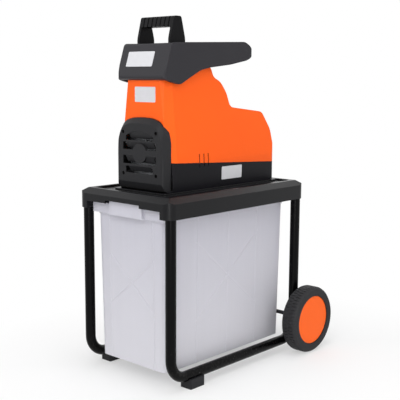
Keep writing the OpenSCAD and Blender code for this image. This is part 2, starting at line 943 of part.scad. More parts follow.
// Uprights at multiples of the pitch, and two slanted ribs that cross in the middle
module rib_pattern(mid, pitch, uprights) {
    height = box_top_z - box_z;
    for (k = uprights)
        translate([mid + k * pitch - 2, box_z])
            square([4, height]);
    for (side = [-1, 1])
        translate([mid, box_z + height * 0.52])
            rotate(side * 40)
                translate([-1.36 * pitch, -2])
                    square([2.72 * pitch, 4]);
}

// Body: one outer form, shared by the base and the cover
module body_form(w) {
    difference() {
        intersection() {
            along_x(-far, far)
                polygon(inset(eased(side_points, 12), w));
            along_y(-far, far)
                polygon(inset(section_points, w));
            translate([0, 0, seat_z])
                linear_extrude(far)
                    round_rect(-body_hw + w, body_hw - w, cover_y - far, rear_y - w, body_r - w);
        }
        mirrored_x() {
            side_facet(w, facet_slope);
            neck_facet(w);
        }
    }
}

// All that lies outside a plane through two points and a level direction, moved inward by w
module beyond(p, q, level, w) {
    normal = unit(cross(q - p, level));
    translate(p - w * normal)
        rotate([0, -asin(normal.z), atan2(normal.y, normal.x)])
            translate([0, -far, -far])
                cube(2 * far);
}

// Bevel along the whole front corner of the body, and a shallower one on the front cover
module side_facet(w, slope) {
    beyond([neck_hw, facet_y, neck_z], [body_hw, facet_y, seam_z], [slope, 1, 0], w);
}

// Corner chamfer, wide under the hopper and running out above the front cover
module neck_facet(w) {
    low_hw = body_hw - draft * (corner_low_z - seam_z) - facet_slope * (facet_y - body_front);
    beyond([neck_hw - neck_chamfer, neck_front, neck_z], [low_hw, body_front, corner_low_z], [1, 1, 0], w);
}

// Half space above the parting line
module above_seam() {
    y0 = cover_y - 50;
    y1 = rear_y + 50;
    z0 = seam_z - seam_slope * (y0 - seam_front_y);
    z1 = seam_z - seam_slope * (y1 - seam_front_y);
    along_x(-far, far)
        polygon([[y0, z0], [y1, z1], [y1, far], [y0, far]]);
}

// Room for the front cover in the shells behind it
module front_cover_room() {
    along_y(cover_y - 20, cover_back + loose_gap)
        polygon(inset(cover_outline, -loose_gap));
}

// Three upright air slits in each side, across the parting line
module air_slits() {
    slit_z = seam_z - 16;
    for (k = [0:2])
        block([-far, case_y - 2 + 17.5 * k, slit_z], [far, case_y + 2 + 17.5 * k, slit_z + 34]);
}

// Screw pillars with a web to the side wall
module pillars() {
    height = seam_front_h + 30;
    for (p = pillar_places)
        translate([p.x, p.y, seat_z]) {
            cylinder(d = pillar_d, h = height);
            translate([sign(p.x) * pillar_d, 0, height / 2])
                cube([2 * pillar_d, shell_wall, height], center = true);
        }
}

module pillar_holes() {
    for (p = pillar_places)
        translate([p.x, p.y, seat_z - cut]) {
            cylinder(d = screw_d, h = seam_front_h + 20);
            cylinder(d = head_d + 1, h = 12 + cut);
        }
}

module body_cover() {
    color(orange)
        difference() {
            intersection() {
                union() {
                    difference() {
                        body_form(0);
                        body_form(shell_wall);
                    }
                    intersection() {
                        body_form(shell_wall / 2);
                        pillars();
                    }
                }
                above_seam();
            }
            front_cover_room();
            air_slits();
            pillar_holes();
            translate([0, throat_y - hood_wall - 1, neck_z - 20])
                linear_extrude(far)
                    round_rect(-throat_w / 2 - hood_wall - 1, throat_w / 2 + hood_wall + 1, 0,
                        throat_l + 2 * hood_wall + 2, 2);
            for (p = hopper_screw_places)
                translate([p.x, p.y, neck_z - 20])
                    cylinder(d = screw_d, h = far);
            translate([0, mid_y, adjust_z])
                rod_x(adjust_d + 6, -far, 0);
            panel_frame()
                block([-panel_w / 2 + panel_side - 1, -panel_h / 2 + panel_side - 1, -panel_depth],
                    [panel_w / 2 - panel_side + 1, panel_h / 2 - panel_side + 1, far]);
        }
}

module body_screws() {
    color(steel)
        for (p = pillar_places)
            translate([p.x, p.y, seat_z + 12])
                screw(seam_front_h - 4);
}

module base_housing() {
    color(dark)
        difference() {
            union() {
                difference() {
                    body_form(0);
                    intersection() {
                        body_form(shell_wall);
                        block([-far, -far, floor_z], [far, far, far]);
                    }
                }
                intersection() {
                    body_form(shell_wall / 2);
                    union() {
                        pillars();
                        for (p = deck_bolt_places)
                            translate([p.x, p.y, seat_z])
                                cylinder(d = 14, h = floor_t + 12);
                        capacitor_cradles();
                    }
                }
            }
            above_seam();
            front_cover_room();
            air_slits();
            pillar_holes();
            chip_opening(0);
            for (p = deck_bolt_places)
                translate([p.x, p.y, seat_z - cut])
                    cylinder(d = screw_d + 1, h = floor_t + 10 + cut);
            translate([inlet_x, 0, inlet_z])
                block([-inlet_w / 2, rear_y - inlet_depth, -inlet_h / 2], [inlet_w / 2, far, inlet_h / 2]);
        }
}

module capacitor_cradles() {
    for (y = [cap_y + 12, cap_y + cap_l - 18])
        difference() {
            block([cap_x - cap_d / 2 - 3, y, seat_z], [cap_x + cap_d / 2 + 3, y + 6, cap_z]);
            translate([cap_x, 0, cap_z])
                rod_y(cap_d, y - cut, y + 6 + cut);
        }
}

module deck_bolts() {
    color(steel)
        for (p = deck_bolt_places)
            translate([p.x, p.y, socket_top])
                screw(seat_z + floor_t + 8 - socket_top, screw_d + 1);
}

// Front cover: a domed black cap with four louvres and a round boss
module cover_form(w) {
    difference() {
        intersection() {
            hull() {
                along_y(cover_y + w - 2, cover_y + w)
                    translate([0, -border_drop])
                        polygon(inset(cover_outline, border_in + w));
                along_y(cover_y + w + border_l, cover_back)
                    polygon(inset(cover_outline, w));
            }
            along_y(cover_y - 2, cover_back + 2)
                polygon(inset(section_points, w));
            along_x(-far, far)
                polygon(inset(toe_points, w));
            translate([0, 0, seat_z])
                linear_extrude(far)
                    round_rect(-cover_hw + w, cover_hw - w, cover_y + w, cover_y + 100, cover_r - w);
        }
        mirrored_x()
            side_facet(w, cover_slope);
    }
}

// Openings of the louvres in the front wall, the top one with an arched head
module louvre_openings() {
    along_y(cover_y - cut, cover_y + shell_wall + cut)
        intersection() {
            for (s = louvres)
                translate([-s[2], seat_z + s[0]])
                    square([2 * s[2], s[1] - s[0]]);
            translate([0, seat_z + louvres[3][1] - louvre_arch_r])
                circle(louvre_arch_r);
        }
}

// Blades that hang from the head of each opening and lean inward, open at both ends
module louvre_blades() {
    for (s = louvres)
        along_x(louvre_gap - s[2], s[2] - louvre_gap)
            polygon([[cover_y + 0.5, seat_z + s[1]], [cover_y + 10, seat_z + s[0] + 4],
                [cover_y + 12, seat_z + s[0] + 4], [cover_y + 2.5, seat_z + s[1] + 2.5],
                [cover_y + 0.5, seat_z + s[1] + 2.5]]);
}

module front_cover() {
    color(dark)
        difference() {
            union() {
                difference() {
                    cover_form(0);
                    cover_form(shell_wall);
                    louvre_openings();
                }
                louvre_blades();
                translate([0, 0, boss_z])
                    rod_y(2 * boss_r, cover_y, cover_y + 8);
                for (p = cover_screw_places)
                    translate([p.x, 0, p.y])
                        rod_y(head_d + 5, cover_y + 1, frame_y);
            }
            for (p = cover_screw_places)
                translate([p.x, 0, p.y]) {
                    rod_y(screw_d, cover_y, frame_y + cut);
                    rod_y(head_d + 1, cover_y - cut, cover_back - 4);
                }
        }
}

module front_cover_screws() {
    color(steel)
        for (p = cover_screw_places)
            translate([p.x, cover_back - 4, p.y])
                rotate([-90, 0, 0])
                    screw(frame_y - cover_back + 4 + 8);
}

// Hopper: an outer hood with a sloped feed tray and a throat duct inside
module hood_form(w) {
    intersection() {
        along_x(-far, far)
            polygon(inset(eased(hood_points, 9), w));
        hood_plan(w);
    }
}

module hood_plan(w) {
    translate([0, 0, seat_z])
        linear_extrude(far)
            intersection() {
                round_rect(w - hood_hw, hood_hw - w, hood_front + w, tip_y + hood_r, hood_r - w);
                round_rect(w - hood_hw, hood_hw - w, hood_front - tip_r, tip_y - w, tip_r - w);
            }
}

// Space that the feed goes through, grown by a negative w
module feed_space(w) {
    intersection() {
        along_x(-far, far)
            polygon(inset(feed_points, w));
        along_y(-far, far)
            polygon(inset(feed_section, w));
        hood_plan(hood_wall + w);
    }
}

module throat_space(w) {
    block([-throat_w / 2 + w, throat_y + w, duct_z],
        [throat_w / 2 - w, throat_y + throat_l - w, feed_z + cut]);
}

module hopper_hood() {
    color(dark)
        difference() {
            union() {
                difference() {
                    hood_form(0);
                    hood_form(hood_wall);
                }
                intersection() {
                    hood_form(0);
                    union() {
                        feed_space(-hood_wall);
                        block([-far, -far, neck_z], [far, far, neck_z + hood_wall]);
                        for (p = hopper_screw_places)
                            translate([p.x, p.y, neck_z])
                                cylinder(d = 12, h = ledge_h);
                    }
                }
                throat_space(-hood_wall);
            }
            feed_space(0);
            throat_space(0);
            neck_room();
            for (p = hopper_screw_places)
                translate([p.x, p.y, neck_z - cut])
                    cylinder(d = screw_d, h = 13 + cut);
        }
}

// Room round the neck, under the hopper
module neck_room() {
    room_z = neck_z - 60;
    difference() {
        block([-neck_hw - 8, neck_front - 2, room_z], [neck_hw + 8, neck_rear + 3, neck_z]);
        throat_space(-hood_wall);
    }
}

module hopper_screws() {
    color(steel)
        for (p = hopper_screw_places)
            translate([p.x, p.y, neck_z - shell_wall])
                screw(shell_wall + 11);
}

// Pusher: a handle with a ribbed bar on a hollow block that slides in the throat
module handle_outline(w) {
    low = feed_z + stop_t - cut;
    polygon(inset(eased([
        [handle_y - 27, low], [handle_y + 27, low], [handle_y + 28, rim_z + 12],
        [handle_y + 13, handle_top], [handle_y - 13, handle_top], [handle_y - 28, rim_z + 12]
    ], 6), w));
}

module pusher() {
    hw = handle_w / 2;
    finger_hw = hw - handle_t;
    finger_top = handle_top - bar_h;
    block_hl = throat_l / 2 - 3;
    color(dark)
        difference() {
            union() {
                along_x(-hw, hw)
                    handle_outline(0);
                translate([0, pusher_y, feed_z + slide_gap])
                    linear_extrude(stop_t)
                        round_rect(-feed_hw + 4, feed_hw - 4, -block_hl - 4, block_hl + 4, 4);
                translate([0, pusher_y, pusher_low])
                    linear_extrude(feed_z - pusher_low + 2)
                        round_rect(-throat_w / 2 + 3, throat_w / 2 - 3, -block_hl, block_hl, 6);
            }
            block([-finger_hw, pusher_y - far, finger_low], [finger_hw, pusher_y + far, finger_top]);
            translate([0, pusher_y, pusher_low - cut])
                linear_extrude(feed_z - pusher_low)
                    round_rect(-throat_w / 2 + 6, throat_w / 2 - 6, -block_hl + 3, block_hl - 3, 3);
            bar_grooves(finger_hw);
        }
}

// Finger grooves round the grip bar
module bar_grooves(finger_hw) {
    pitch = 2 * finger_hw / 7;
    difference() {
        for (k = [-3:3])
            block([k * pitch - 2, -far, handle_top - bar_h - cut], [k * pitch + 2, far, handle_top + cut]);
        intersection() {
            along_x(-far, far)
                handle_outline(2.5);
            block([-far, -far, handle_top - bar_h + 2.5], [far, far, far]);
        }
    }
}

// Cutting chamber: a cast frame with four walls that carries the roller's front bearing
module cutter_frame() {
    color(alloy)
        difference() {
            union() {
                difference() {
                    block([-frame_hw, frame_y, floor_z], [frame_hw, case_y, frame_top]);
                    block([-chamber_hw, chamber_y, seat_z], [chamber_hw, chamber_end, far]);
                }
                block([-chamber_hw - cut, chamber_y - cut, plate_low - 9],
                    [plate_x + 12, chamber_end + cut, plate_low - slide_gap]);
            }
            translate([roller_x, 0, roller_z]) {
                rod_y(roller_bearing_d, frame_y - cut, chamber_y + cut);
                rod_y(roller_shaft_d + 4, chamber_y, case_y + cut);
            }
            translate([0, mid_y, adjust_z])
                rod_x(adjust_d + 2 * run_gap, -far, plate_x);
            for (p = cover_screw_places)
                translate([p.x, 0, p.y])
                    rod_y(screw_d, frame_y - cut, frame_y + 9);
        }
}

module roller_bearings() {
    color(steel)
        for (y = [frame_y, case_y])
            translate([roller_x, y, roller_z])
                bearing(roller_shaft_d + 2 * run_gap, roller_bearing_d, bearing_w);
}

module roller_shaft() {
    color(steel)
        translate([roller_x, 0, roller_z])
            rod_y(roller_shaft_d, frame_y + 1, out_y + second_face + 2);
}

// Ratchet outline of the roller, with one hooked rib in each sector
function roller_points() = let (tip = roller_d / 2, root = tip - 9, sector = 360 / rib_n) [
    for (k = [0:rib_n - 1])
        for (p = [[root, 0], [tip, 0.02], [tip, 0.16], [root + 3, 0.36], [root, 0.62]])
            let (a = sector * (k + p[1]))
            p[0] * [cos(a), sin(a)]
];

module cutting_roller() {
    groove_pitch = roller_l / 4;
    color(steel)
        translate([roller_x, 0, roller_z])
            difference() {
                along_y(roller_y, roller_y + roller_l)
                    difference() {
                        polygon(roller_points());
                        circle(d = roller_shaft_d);
                    }
                for (k = [1:3])
                    translate([0, roller_y + k * groove_pitch, 0])
                        rotate([-90, 0, 0])
                            rotate_extrude()
                                polygon([[roller_d / 2 - 6, 0], [roller_d / 2 + cut, -4],
                                    [roller_d / 2 + cut, 4]]);
            }
}

// Counter plate with a hollow face round the roller, and its adjusting screw and knob
module counter_plate() {
    nip_x = roller_x - roller_d / 2;
    color(alloy)
        difference() {
            along_y(plate_y, plate_y + plate_l)
                difference() {
                    polygon([[plate_x, plate_low], [nip_x + 11, plate_low], [nip_x + 15, plate_high - 14],
                        [plate_x + 8, plate_high], [plate_x, plate_high]]);
                    translate([roller_x, roller_z])
                        circle(roller_d / 2 + nip_gap);
                }
            translate([0, mid_y, adjust_z])
                rod_x(adjust_d + 2 * run_gap, plate_x - cut, adjust_end + plate_travel + 3);
        }
}

module adjusting_screw() {
    collar_x = -frame_hw - loose_gap;
    color(steel)
        translate([0, mid_y, adjust_z]) {
            rod_x(adjust_d, knob_x - knob_l + 8, adjust_end);
            rod_x(adjust_d + 7, collar_x - 4, collar_x);
        }
}

module adjusting_knob() {
    color(dark)
        translate([knob_x, mid_y, adjust_z])
            rotate([0, -90, 0])
                difference() {
                    cylinder(d = knob_d, h = knob_l);
                    for (a = [0:45:315])
                        rotate(a)
                            translate([knob_d / 2 + 3, 0, 5])
                                cylinder(d = 12, h = knob_l);
                    translate([0, 0, -cut])
                        cylinder(d = adjust_d, h = knob_l - 8 + cut);
                }
}

// Outline of the gear case, grown by w: two rounds and the web between them
module case_outline(w) {
    translate([roller_x, roller_z])
        circle(out_case_r - case_wall + w);
    translate([lay_x, lay_z])
        circle(lay_case_r - case_wall + w);
    translate([(roller_x + lay_x) / 2, (roller_z + lay_z) / 2])
        rotate(second_angle)
            square([second_centres, 2 * (lay_case_r - case_wall + w)], center = true);
    translate([motor_x, motor_z])
        circle(shaft_bearing_d / 2 + 6 + w);
}

module case_lugs(y0, y1) {
    for (p = case_screw_places)
        translate([p.x, 0, p.y])
            rod_y(10, y0, y1);
}

module gearbox_housing() {
    color(alloy)
        difference() {
            union() {
                along_y(case_y, case_end)
                    case_outline(case_wall);
                case_lugs(case_y, case_end);
                block([-10, case_y, floor_z], [lay_x + 40, case_end, lay_z - 20]);
            }
            along_y(case_in, case_end + cut)
                case_outline(0);
            translate([roller_x, 0, roller_z])
                rod_y(roller_bearing_d, case_y - cut, case_in + cut);
            translate([lay_x, 0, lay_z])
                rod_y(shaft_bearing_d, case_in - shaft_bearing_w, case_in + cut);
            for (p = case_screw_places)
                translate([p.x, 0, p.y])
                    rod_y(screw_d, case_end - 14, case_end + cut);
        }
}

module gearbox_cover() {
    color(alloy)
        difference() {
            union() {
                along_y(case_end, case_back)
                    case_outline(case_wall);
                case_lugs(case_end, case_back);
                for (p = motor_bolt_places)
                    translate([p.x, 0, p.y])
                        rod_y(post_d, case_end + 4, stator_y);
                along_y(case_end + 4, case_back)
                    translate([motor_x, motor_z])
                        circle(bolt_r + post_d / 2);
            }
            translate([lay_x, 0, lay_z])
                rod_y(shaft_bearing_d, case_end - cut, case_end + shaft_bearing_w);
            translate([motor_x, 0, motor_z]) {
                rod_y(shaft_bearing_d, case_back - shaft_bearing_w, case_back + cut);
                rod_y(shaft_d + 2, case_end - cut, case_back);
            }
            for (p = motor_bolt_places)
                translate([p.x, 0, p.y])
                    rod_y(bolt_d, case_back - 6, stator_y + cut);
            for (p = case_screw_places)
                translate([p.x, 0, p.y])
                    rod_y(screw_d, case_end - cut, case_back + cut);
        }
}

module gearbox_screws() {
    color(steel)
        for (p = case_screw_places)
            translate([p.x, case_back, p.y])
                rotate([90, 0, 0])
                    screw(bearing_w + 12);
}

module output_gear() {
    color(steel)
        difference() {
            gear(second_m, gear_n, roller_x, roller_z, second_angle, out_y, out_y + second_face);
            translate([roller_x, 0, roller_z]) {
                rod_y(roller_shaft_d, out_y - cut, out_y + second_face + cut);
                for (a = [0:60:300])
                    rotate([0, a, 0])
                        translate([out_r * 0.6, 0, 0])
                            rod_y(out_r * 0.32, out_y - cut, out_y + second_face + cut);
            }
        }
}

module layshaft() {
    color(steel)
        union() {
            translate([lay_x, 0, lay_z])
                rod_y(shaft_d, case_in - shaft_bearing_w + 0.5, case_end + shaft_bearing_w - 0.5);
            gear(second_m, pinion_n, lay_x, lay_z, second_angle + 180 + 180 / pinion_n,
                out_y - 1, out_y + second_face + 1);
        }
}

module layshaft_gear() {
    color(brass)
        difference() {
            gear(first_m, gear_n, lay_x, lay_z, first_angle, lay_y, lay_y + first_face);
            translate([lay_x, 0, lay_z])
                rod_y(shaft_d, lay_y - cut, lay_y + first_face + cut);
        }
}

module layshaft_bearings() {
    color(steel)
        for (y = [case_in - shaft_bearing_w, case_end])
            translate([lay_x, y, lay_z])
                bearing(shaft_d + 2 * run_gap, shaft_bearing_d, shaft_bearing_w);
}

// Motor: a shaft with a pinion cut in its end, rotor, stator and fan
module motor_shaft() {
    color(steel)
        union() {
            translate([motor_x, 0, motor_z])
                rod_y(shaft_d, lay_y + first_face + 3, shaft_end);
            gear(first_m, pinion_n, motor_x, motor_z, first_angle + 180 + 180 / pinion_n,
                lay_y - 2, lay_y + first_face + 3);
        }
}

module rotor() {
    color(steel)
        translate([motor_x, 0, motor_z])
            rotate([-90, 0, 0])
                translate([0, 0, stator_y + 2])
                    linear_extrude(stator_l - 4)
                        ring(rotor_d, shaft_d);
}

module stator() {
    slot_n = 24;
    bore_r = rotor_d / 2 + air_gap;
    color(steel)
        along_y(stator_y, stator_y + stator_l)
            difference() {
                translate([motor_x, motor_z])
                    difference() {
                        circle(d = stator_d);
                        circle(bore_r);
                        for (k = [0:slot_n - 1])
                            rotate(360 * k / slot_n)
                                translate([bore_r - cut, -1.8])
                                    square([10 + cut, 3.6]);
                    }
                for (p = motor_bolt_places)
                    translate(p)
                        circle(d = bolt_d);
            }
}

module stator_winding() {
    color(copper)
        translate([motor_x, 0, motor_z])
            rotate([-90, 0, 0])
                for (y = [stator_y - winding_l, stator_y + stator_l])
                    translate([0, 0, y])
                        rotate_extrude()
                            translate([rotor_d / 2 + 4, 0])
                                round_rect(0, winding_r - rotor_d / 2 - 4, 0, winding_l, 4);
}

module motor_bearings() {
    color(steel)
        for (y = [case_back - shaft_bearing_w, shield_y])
            translate([motor_x, y, motor_z])
                bearing(shaft_d + 2 * run_gap, shaft_bearing_d, shaft_bearing_w);
}

module motor_rear_shield() {
    color(alloy)
        difference() {
            union() {
                along_y(shield_y, shield_y + shield_t)
                    difference() {
                        translate([motor_x, motor_z])
                            circle(d = stator_d);
                        for (a = [0:60:300])
                            translate([motor_x, motor_z])
                                rotate(a)
                                    translate([winding_r * 0.66, 0])
                                        circle(r = winding_r * 0.22);
                    }
                for (p = motor_bolt_places)
                    translate([p.x, 0, p.y])
                        rod_y(post_d, stator_y + stator_l, shield_y + shield_t);
                block([motor_x - 26, shield_y, floor_z], [motor_x + 26, shield_y + shield_t,
                    motor_z - stator_d / 2 + 6]);
            }
            translate([motor_x, 0, motor_z]) {
                rod_y(shaft_bearing_d, shield_y - cut, shield_y + shaft_bearing_w);
                rod_y(shaft_d + 2, shield_y, shield_y + shield_t + cut);
            }
            for (p = motor_bolt_places)
                translate([p.x, 0, p.y])
                    rod_y(bolt_d, stator_y, shield_y + shield_t + cut);
        }
}

module motor_bolts() {
    color(steel)
        for (p = motor_bolt_places)
            translate([p.x, 0, p.y]) {
                rod_y(bolt_d, case_back - 6, shield_y + shield_t);
                rod_y(bolt_d + 4, shield_y + shield_t, shield_y + shield_t + 4);
            }
}

module motor_fan() {
    blade_n = 9;
    color(dark)
        translate([motor_x, 0, motor_z])
            difference() {
                union() {
                    rod_y(shaft_d + 12, fan_y, fan_y + fan_w);
                    rod_y(fan_d, fan_y + fan_w - 3, fan_y + fan_w);
                    for (k = [0:blade_n - 1])
                        rotate([0, 360 * k / blade_n, 0])
                            block([shaft_d / 2 + 4, fan_y, -1.2], [fan_d / 2 - 1, fan_y + fan_w - 1, 1.2]);
                }
                rod_y(shaft_d, fan_y - cut, fan_y + fan_w + cut);
            }
}

// Control panel on the sloped rear face
module panel_frame() {
    translate([0, panel_y, panel_z])
        rotate([panel_tilt - 90, 0, 0])
            children();
}

module control_panel() {
    hw = panel_w / 2;
    hh = panel_h / 2;
    inner_hw = hw - panel_side - panel_wall;
    inner_hh = hh - panel_side - panel_wall;
    color(dark)
        panel_frame()
            difference() {
                union() {
                    linear_extrude(panel_t)
                        round_rect(-hw, hw, -hh, hh, 6);
                    translate([0, 0, -panel_depth])
                        linear_extrude(panel_depth + cut)
                            round_rect(panel_side - hw, hw - panel_side, panel_side - hh,
                                hh - panel_side, 4);
                }
                translate([0, 0, panel_wall - panel_depth])
                    linear_extrude(panel_depth - 2 * panel_wall)
                        round_rect(-inner_hw, inner_hw, -inner_hh, inner_hh, 2);
                for (x = [on_x, off_x])
                    block([x - button_w / 2 - loose_gap, -button_h / 2 - loose_gap, -6],
                        [x + button_w / 2 + loose_gap, button_h / 2 + loose_gap, far]);
                translate([reset_x, 0, -6])
                    cylinder(d = reset_d + 2 * loose_gap, h = far);
                translate([selector_x, 0, -6])
                    cylinder(d = spindle_d + 2 * run_gap, h = far);
            }
}

module push_button(x) {
    panel_frame()
        translate([x, 0, -button_in])
            linear_extrude(button_in + panel_t + button_out)
                round_rect(-button_w / 2, button_w / 2, -button_h / 2, button_h / 2, 3);
}

module on_button() {
    color([0.1, 0.55, 0.2])
        push_button(on_x);
}

module off_button() {
    color([0.75, 0.1, 0.1])
        push_button(off_x);
}

module reset_button() {
    color(black)
        panel_frame()
            translate([reset_x, 0, -button_in])
                cylinder(d = reset_d, h = button_in + panel_t + button_out);
}

// Round selector with a raised pointer bar
module direction_selector() {
    color(black)
        panel_frame()
            translate([selector_x, 0, 0]) {
                translate([0, 0, -button_in])
                    cylinder(d = spindle_d, h = button_in + panel_t + 2);
                translate([0, 0, panel_t + loose_gap])
                    cylinder(d = selector_d, h = 6);
                translate([0, 0, panel_t + loose_gap])
                    linear_extrude(14)
                        round_rect(-4, 4, -selector_d / 2 + 1, selector_d / 2 - 1, 3);
            }
}

// Recessed inlet with three flat pins
module power_inlet() {
    color(black)
        translate([inlet_x, rear_y, inlet_z])
            difference() {
                union() {
                    along_y(0, 2.5)
                        round_rect(-inlet_w / 2 - 4, inlet_w / 2 + 4, -inlet_h / 2 - 4, inlet_h / 2 + 4, 4);
                    block([-inlet_w / 2, -inlet_depth, -inlet_h / 2], [inlet_w / 2, 1, inlet_h / 2]);
                }
                along_y(-inlet_depth + 6, 3)
                    round_rect(-inlet_w / 2 + 4, inlet_w / 2 - 4, -inlet_h / 2 + 4, inlet_h / 2 - 4, 5);
                at_inlet_pins()
                    block([-2.5, -inlet_depth - cut, -1], [2.5, -inlet_depth + 7, 1]);
            }
}

module at_inlet_pins() {
    for (p = [[-9, -3], [9, -3], [0, 5]])
        translate([p.x, 0, p.y])
            children();
}

module inlet_pins() {
    color(brass)
        translate([inlet_x, rear_y, inlet_z])
            at_inlet_pins()
                block([-2.5, -inlet_depth - 6, -1], [2.5, -5, 1]);
}

module capacitor() {
    color([0.85, 0.85, 0.87])
        translate([cap_x, cap_y, cap_z])
            rotate([-90, 0, 0])
                union() {
                    cylinder(d = cap_d, h = cap_l);
                    for (x = [-7, 7])
                        translate([x, 0, cap_l])
                            block([-3, -0.5, -cut], [3, 0.5, 9]);
                }
}

deck();
frame_tube_left();
frame_tube_right();
leg_screws();
front_feet();
foot_screws();
wheel_axle();
axle_spacers();
axle_clips();
tyre_left();
tyre_right();
wheel_rim_left();
wheel_rim_right();
wheel_disc_left();
wheel_disc_right();
collection_box();
base_housing();
deck_bolts();
body_cover();
body_screws();
front_cover();
front_cover_screws();
hopper_hood();
hopper_screws();
pusher();
cutter_frame();
roller_bearings();
roller_shaft();
cutting_roller();
counter_plate();
adjusting_screw();
adjusting_knob();
gearbox_housing();
gearbox_cover();
gearbox_screws();
output_gear();
layshaft();
layshaft_gear();
layshaft_bearings();
motor_shaft();
rotor();
stator();
stator_winding();
motor_bearings();
motor_rear_shield();
motor_bolts();
motor_fan();
control_panel();
on_button();
off_button();
reset_button();
direction_selector();
power_inlet();
inlet_pins();
capacitor();
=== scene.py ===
"""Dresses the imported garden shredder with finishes, plates, screws and signs, in a white studio."""

from __future__ import annotations

import logging
import math
from abc import ABC, abstractmethod
from collections.abc import Callable, Iterator
from contextlib import contextmanager
from dataclasses import dataclass, field
from enum import Enum

import bmesh
import bpy
from mathutils import Matrix, Vector


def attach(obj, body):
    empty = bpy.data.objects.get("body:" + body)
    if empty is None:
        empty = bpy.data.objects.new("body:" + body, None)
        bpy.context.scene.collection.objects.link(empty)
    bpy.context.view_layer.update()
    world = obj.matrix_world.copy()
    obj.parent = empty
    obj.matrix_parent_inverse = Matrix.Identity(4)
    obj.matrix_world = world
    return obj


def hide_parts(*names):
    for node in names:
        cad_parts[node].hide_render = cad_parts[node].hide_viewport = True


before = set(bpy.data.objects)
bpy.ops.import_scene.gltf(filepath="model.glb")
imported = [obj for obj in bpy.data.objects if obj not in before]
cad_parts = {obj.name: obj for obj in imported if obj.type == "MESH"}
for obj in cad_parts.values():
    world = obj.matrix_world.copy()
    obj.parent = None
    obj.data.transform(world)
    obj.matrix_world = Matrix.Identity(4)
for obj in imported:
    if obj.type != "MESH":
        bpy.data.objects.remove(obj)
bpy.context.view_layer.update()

log = logging.getLogger("shredder")

Rgb = tuple[float, float, float]
Point = tuple[float, float, float]
MM = 0.001
LEVEL = 0.9  # a face whose normal has more than this along Z counts as level
WHITE = (1.0, 1.0, 1.0, 1.0)
ALONG_X, ALONG_Z = Vector((1, 0, 0)), Vector((0, 0, 1))


def linear(red: int, green: int, blue: int) -> Rgb:
    """Turn a screen colour into scene-linear values.

    Args:
        red: level from 0 to 255.
        green: level from 0 to 255.
        blue: level from 0 to 255.

    Returns:
        The three linear values.
    """

    def channel(level: int) -> float:
        """Turn one screen level into a linear value, by the sRGB curve."""
        share = level / 255
        return share / 12.92 if share <= 0.04045 else ((share + 0.055) / 1.055) ** 2.4

    return channel(red), channel(green), channel(blue)


def rgba(colour: Rgb, factor: float = 1.0) -> tuple[float, float, float, float]:
    """Scale a colour and give it full cover, as a colour socket wants it."""
    return tuple(min(1.0, level * factor) for level in colour) + (1.0,)


class Lay(Enum):
    """How close machining or flow marks lie along X, Y and Z, in marks per metre."""

    ROUND = (700.0, 700.0, 700.0)
    ALONG_X = (14.0, 900.0, 900.0)
    ALONG_Y = (900.0, 14.0, 900.0)
    UPRIGHT = (70.0, 70.0, 2.0)


class Side(Enum):
    """Where the heads of a group of screws face."""

    DOWN = (0.0, 0.0, -1.0)
    FRONT = (0.0, -1.0, 0.0)
    MIDDLE = (0.0, 0.0, 0.0)


class Sock:
    """A shader socket that takes part in Python sums."""

    def __init__(self, sheet: NodeSheet, socket: bpy.types.NodeSocket) -> None:
        """Keep the socket and the sheet it is on."""
        self.sheet = sheet
        self.socket = socket

    def calc(self, operation: str, first: Value, second: Value = 0.0, clamp: bool = False) -> Sock:
        """Add one Math node for a sum by Blender's name, kept between 0 and 1 if clamped."""
        settings = {"operation": operation, "use_clamp": clamp}
        return self.sheet.node("ShaderNodeMath", settings, {0: first, 1: second})

    def __add__(self, other: Value) -> Sock:
        """Add."""
        return self.calc("ADD", self, other)

    def __sub__(self, other: Value) -> Sock:
        """Subtract."""
        return self.calc("SUBTRACT", self, other)

    def __rsub__(self, other: Value) -> Sock:
        """Subtract from a number."""
        return self.calc("SUBTRACT", other, self)

    def __mul__(self, other: Value) -> Sock:
        """Multiply."""
        return self.calc("MULTIPLY", self, other)

    def __pow__(self, other: Value) -> Sock:
        """Raise to a power."""
        return self.calc("POWER", self, other)

    def clamped(self) -> Sock:
        """Keep the value between 0 and 1."""
        return self.calc("ADD", self, 0.0, True)

    def larger(self, other: Value) -> Sock:
        """Take the larger of two values."""
        return self.calc("MAXIMUM", self, other)

    def size(self) -> Sock:
        """Take the value without its sign."""
        return (self * self) ** 0.5

    def wave(self, length: float) -> Sock:
        """Turn a length into a sine wave, from -1 to 1."""
        return self.calc("SINE", self * (2 * math.pi / length))

    def lifted(self) -> Sock:
        """Turn values from -1 to 1 into values from 0 to 1."""
        return self * 0.5 + 0.5

    def spread(self, span: float) -> Sock:
        """Centre noise on 0 and give it a span."""
        return (self - 0.5) * span


Value = Sock | float | tuple


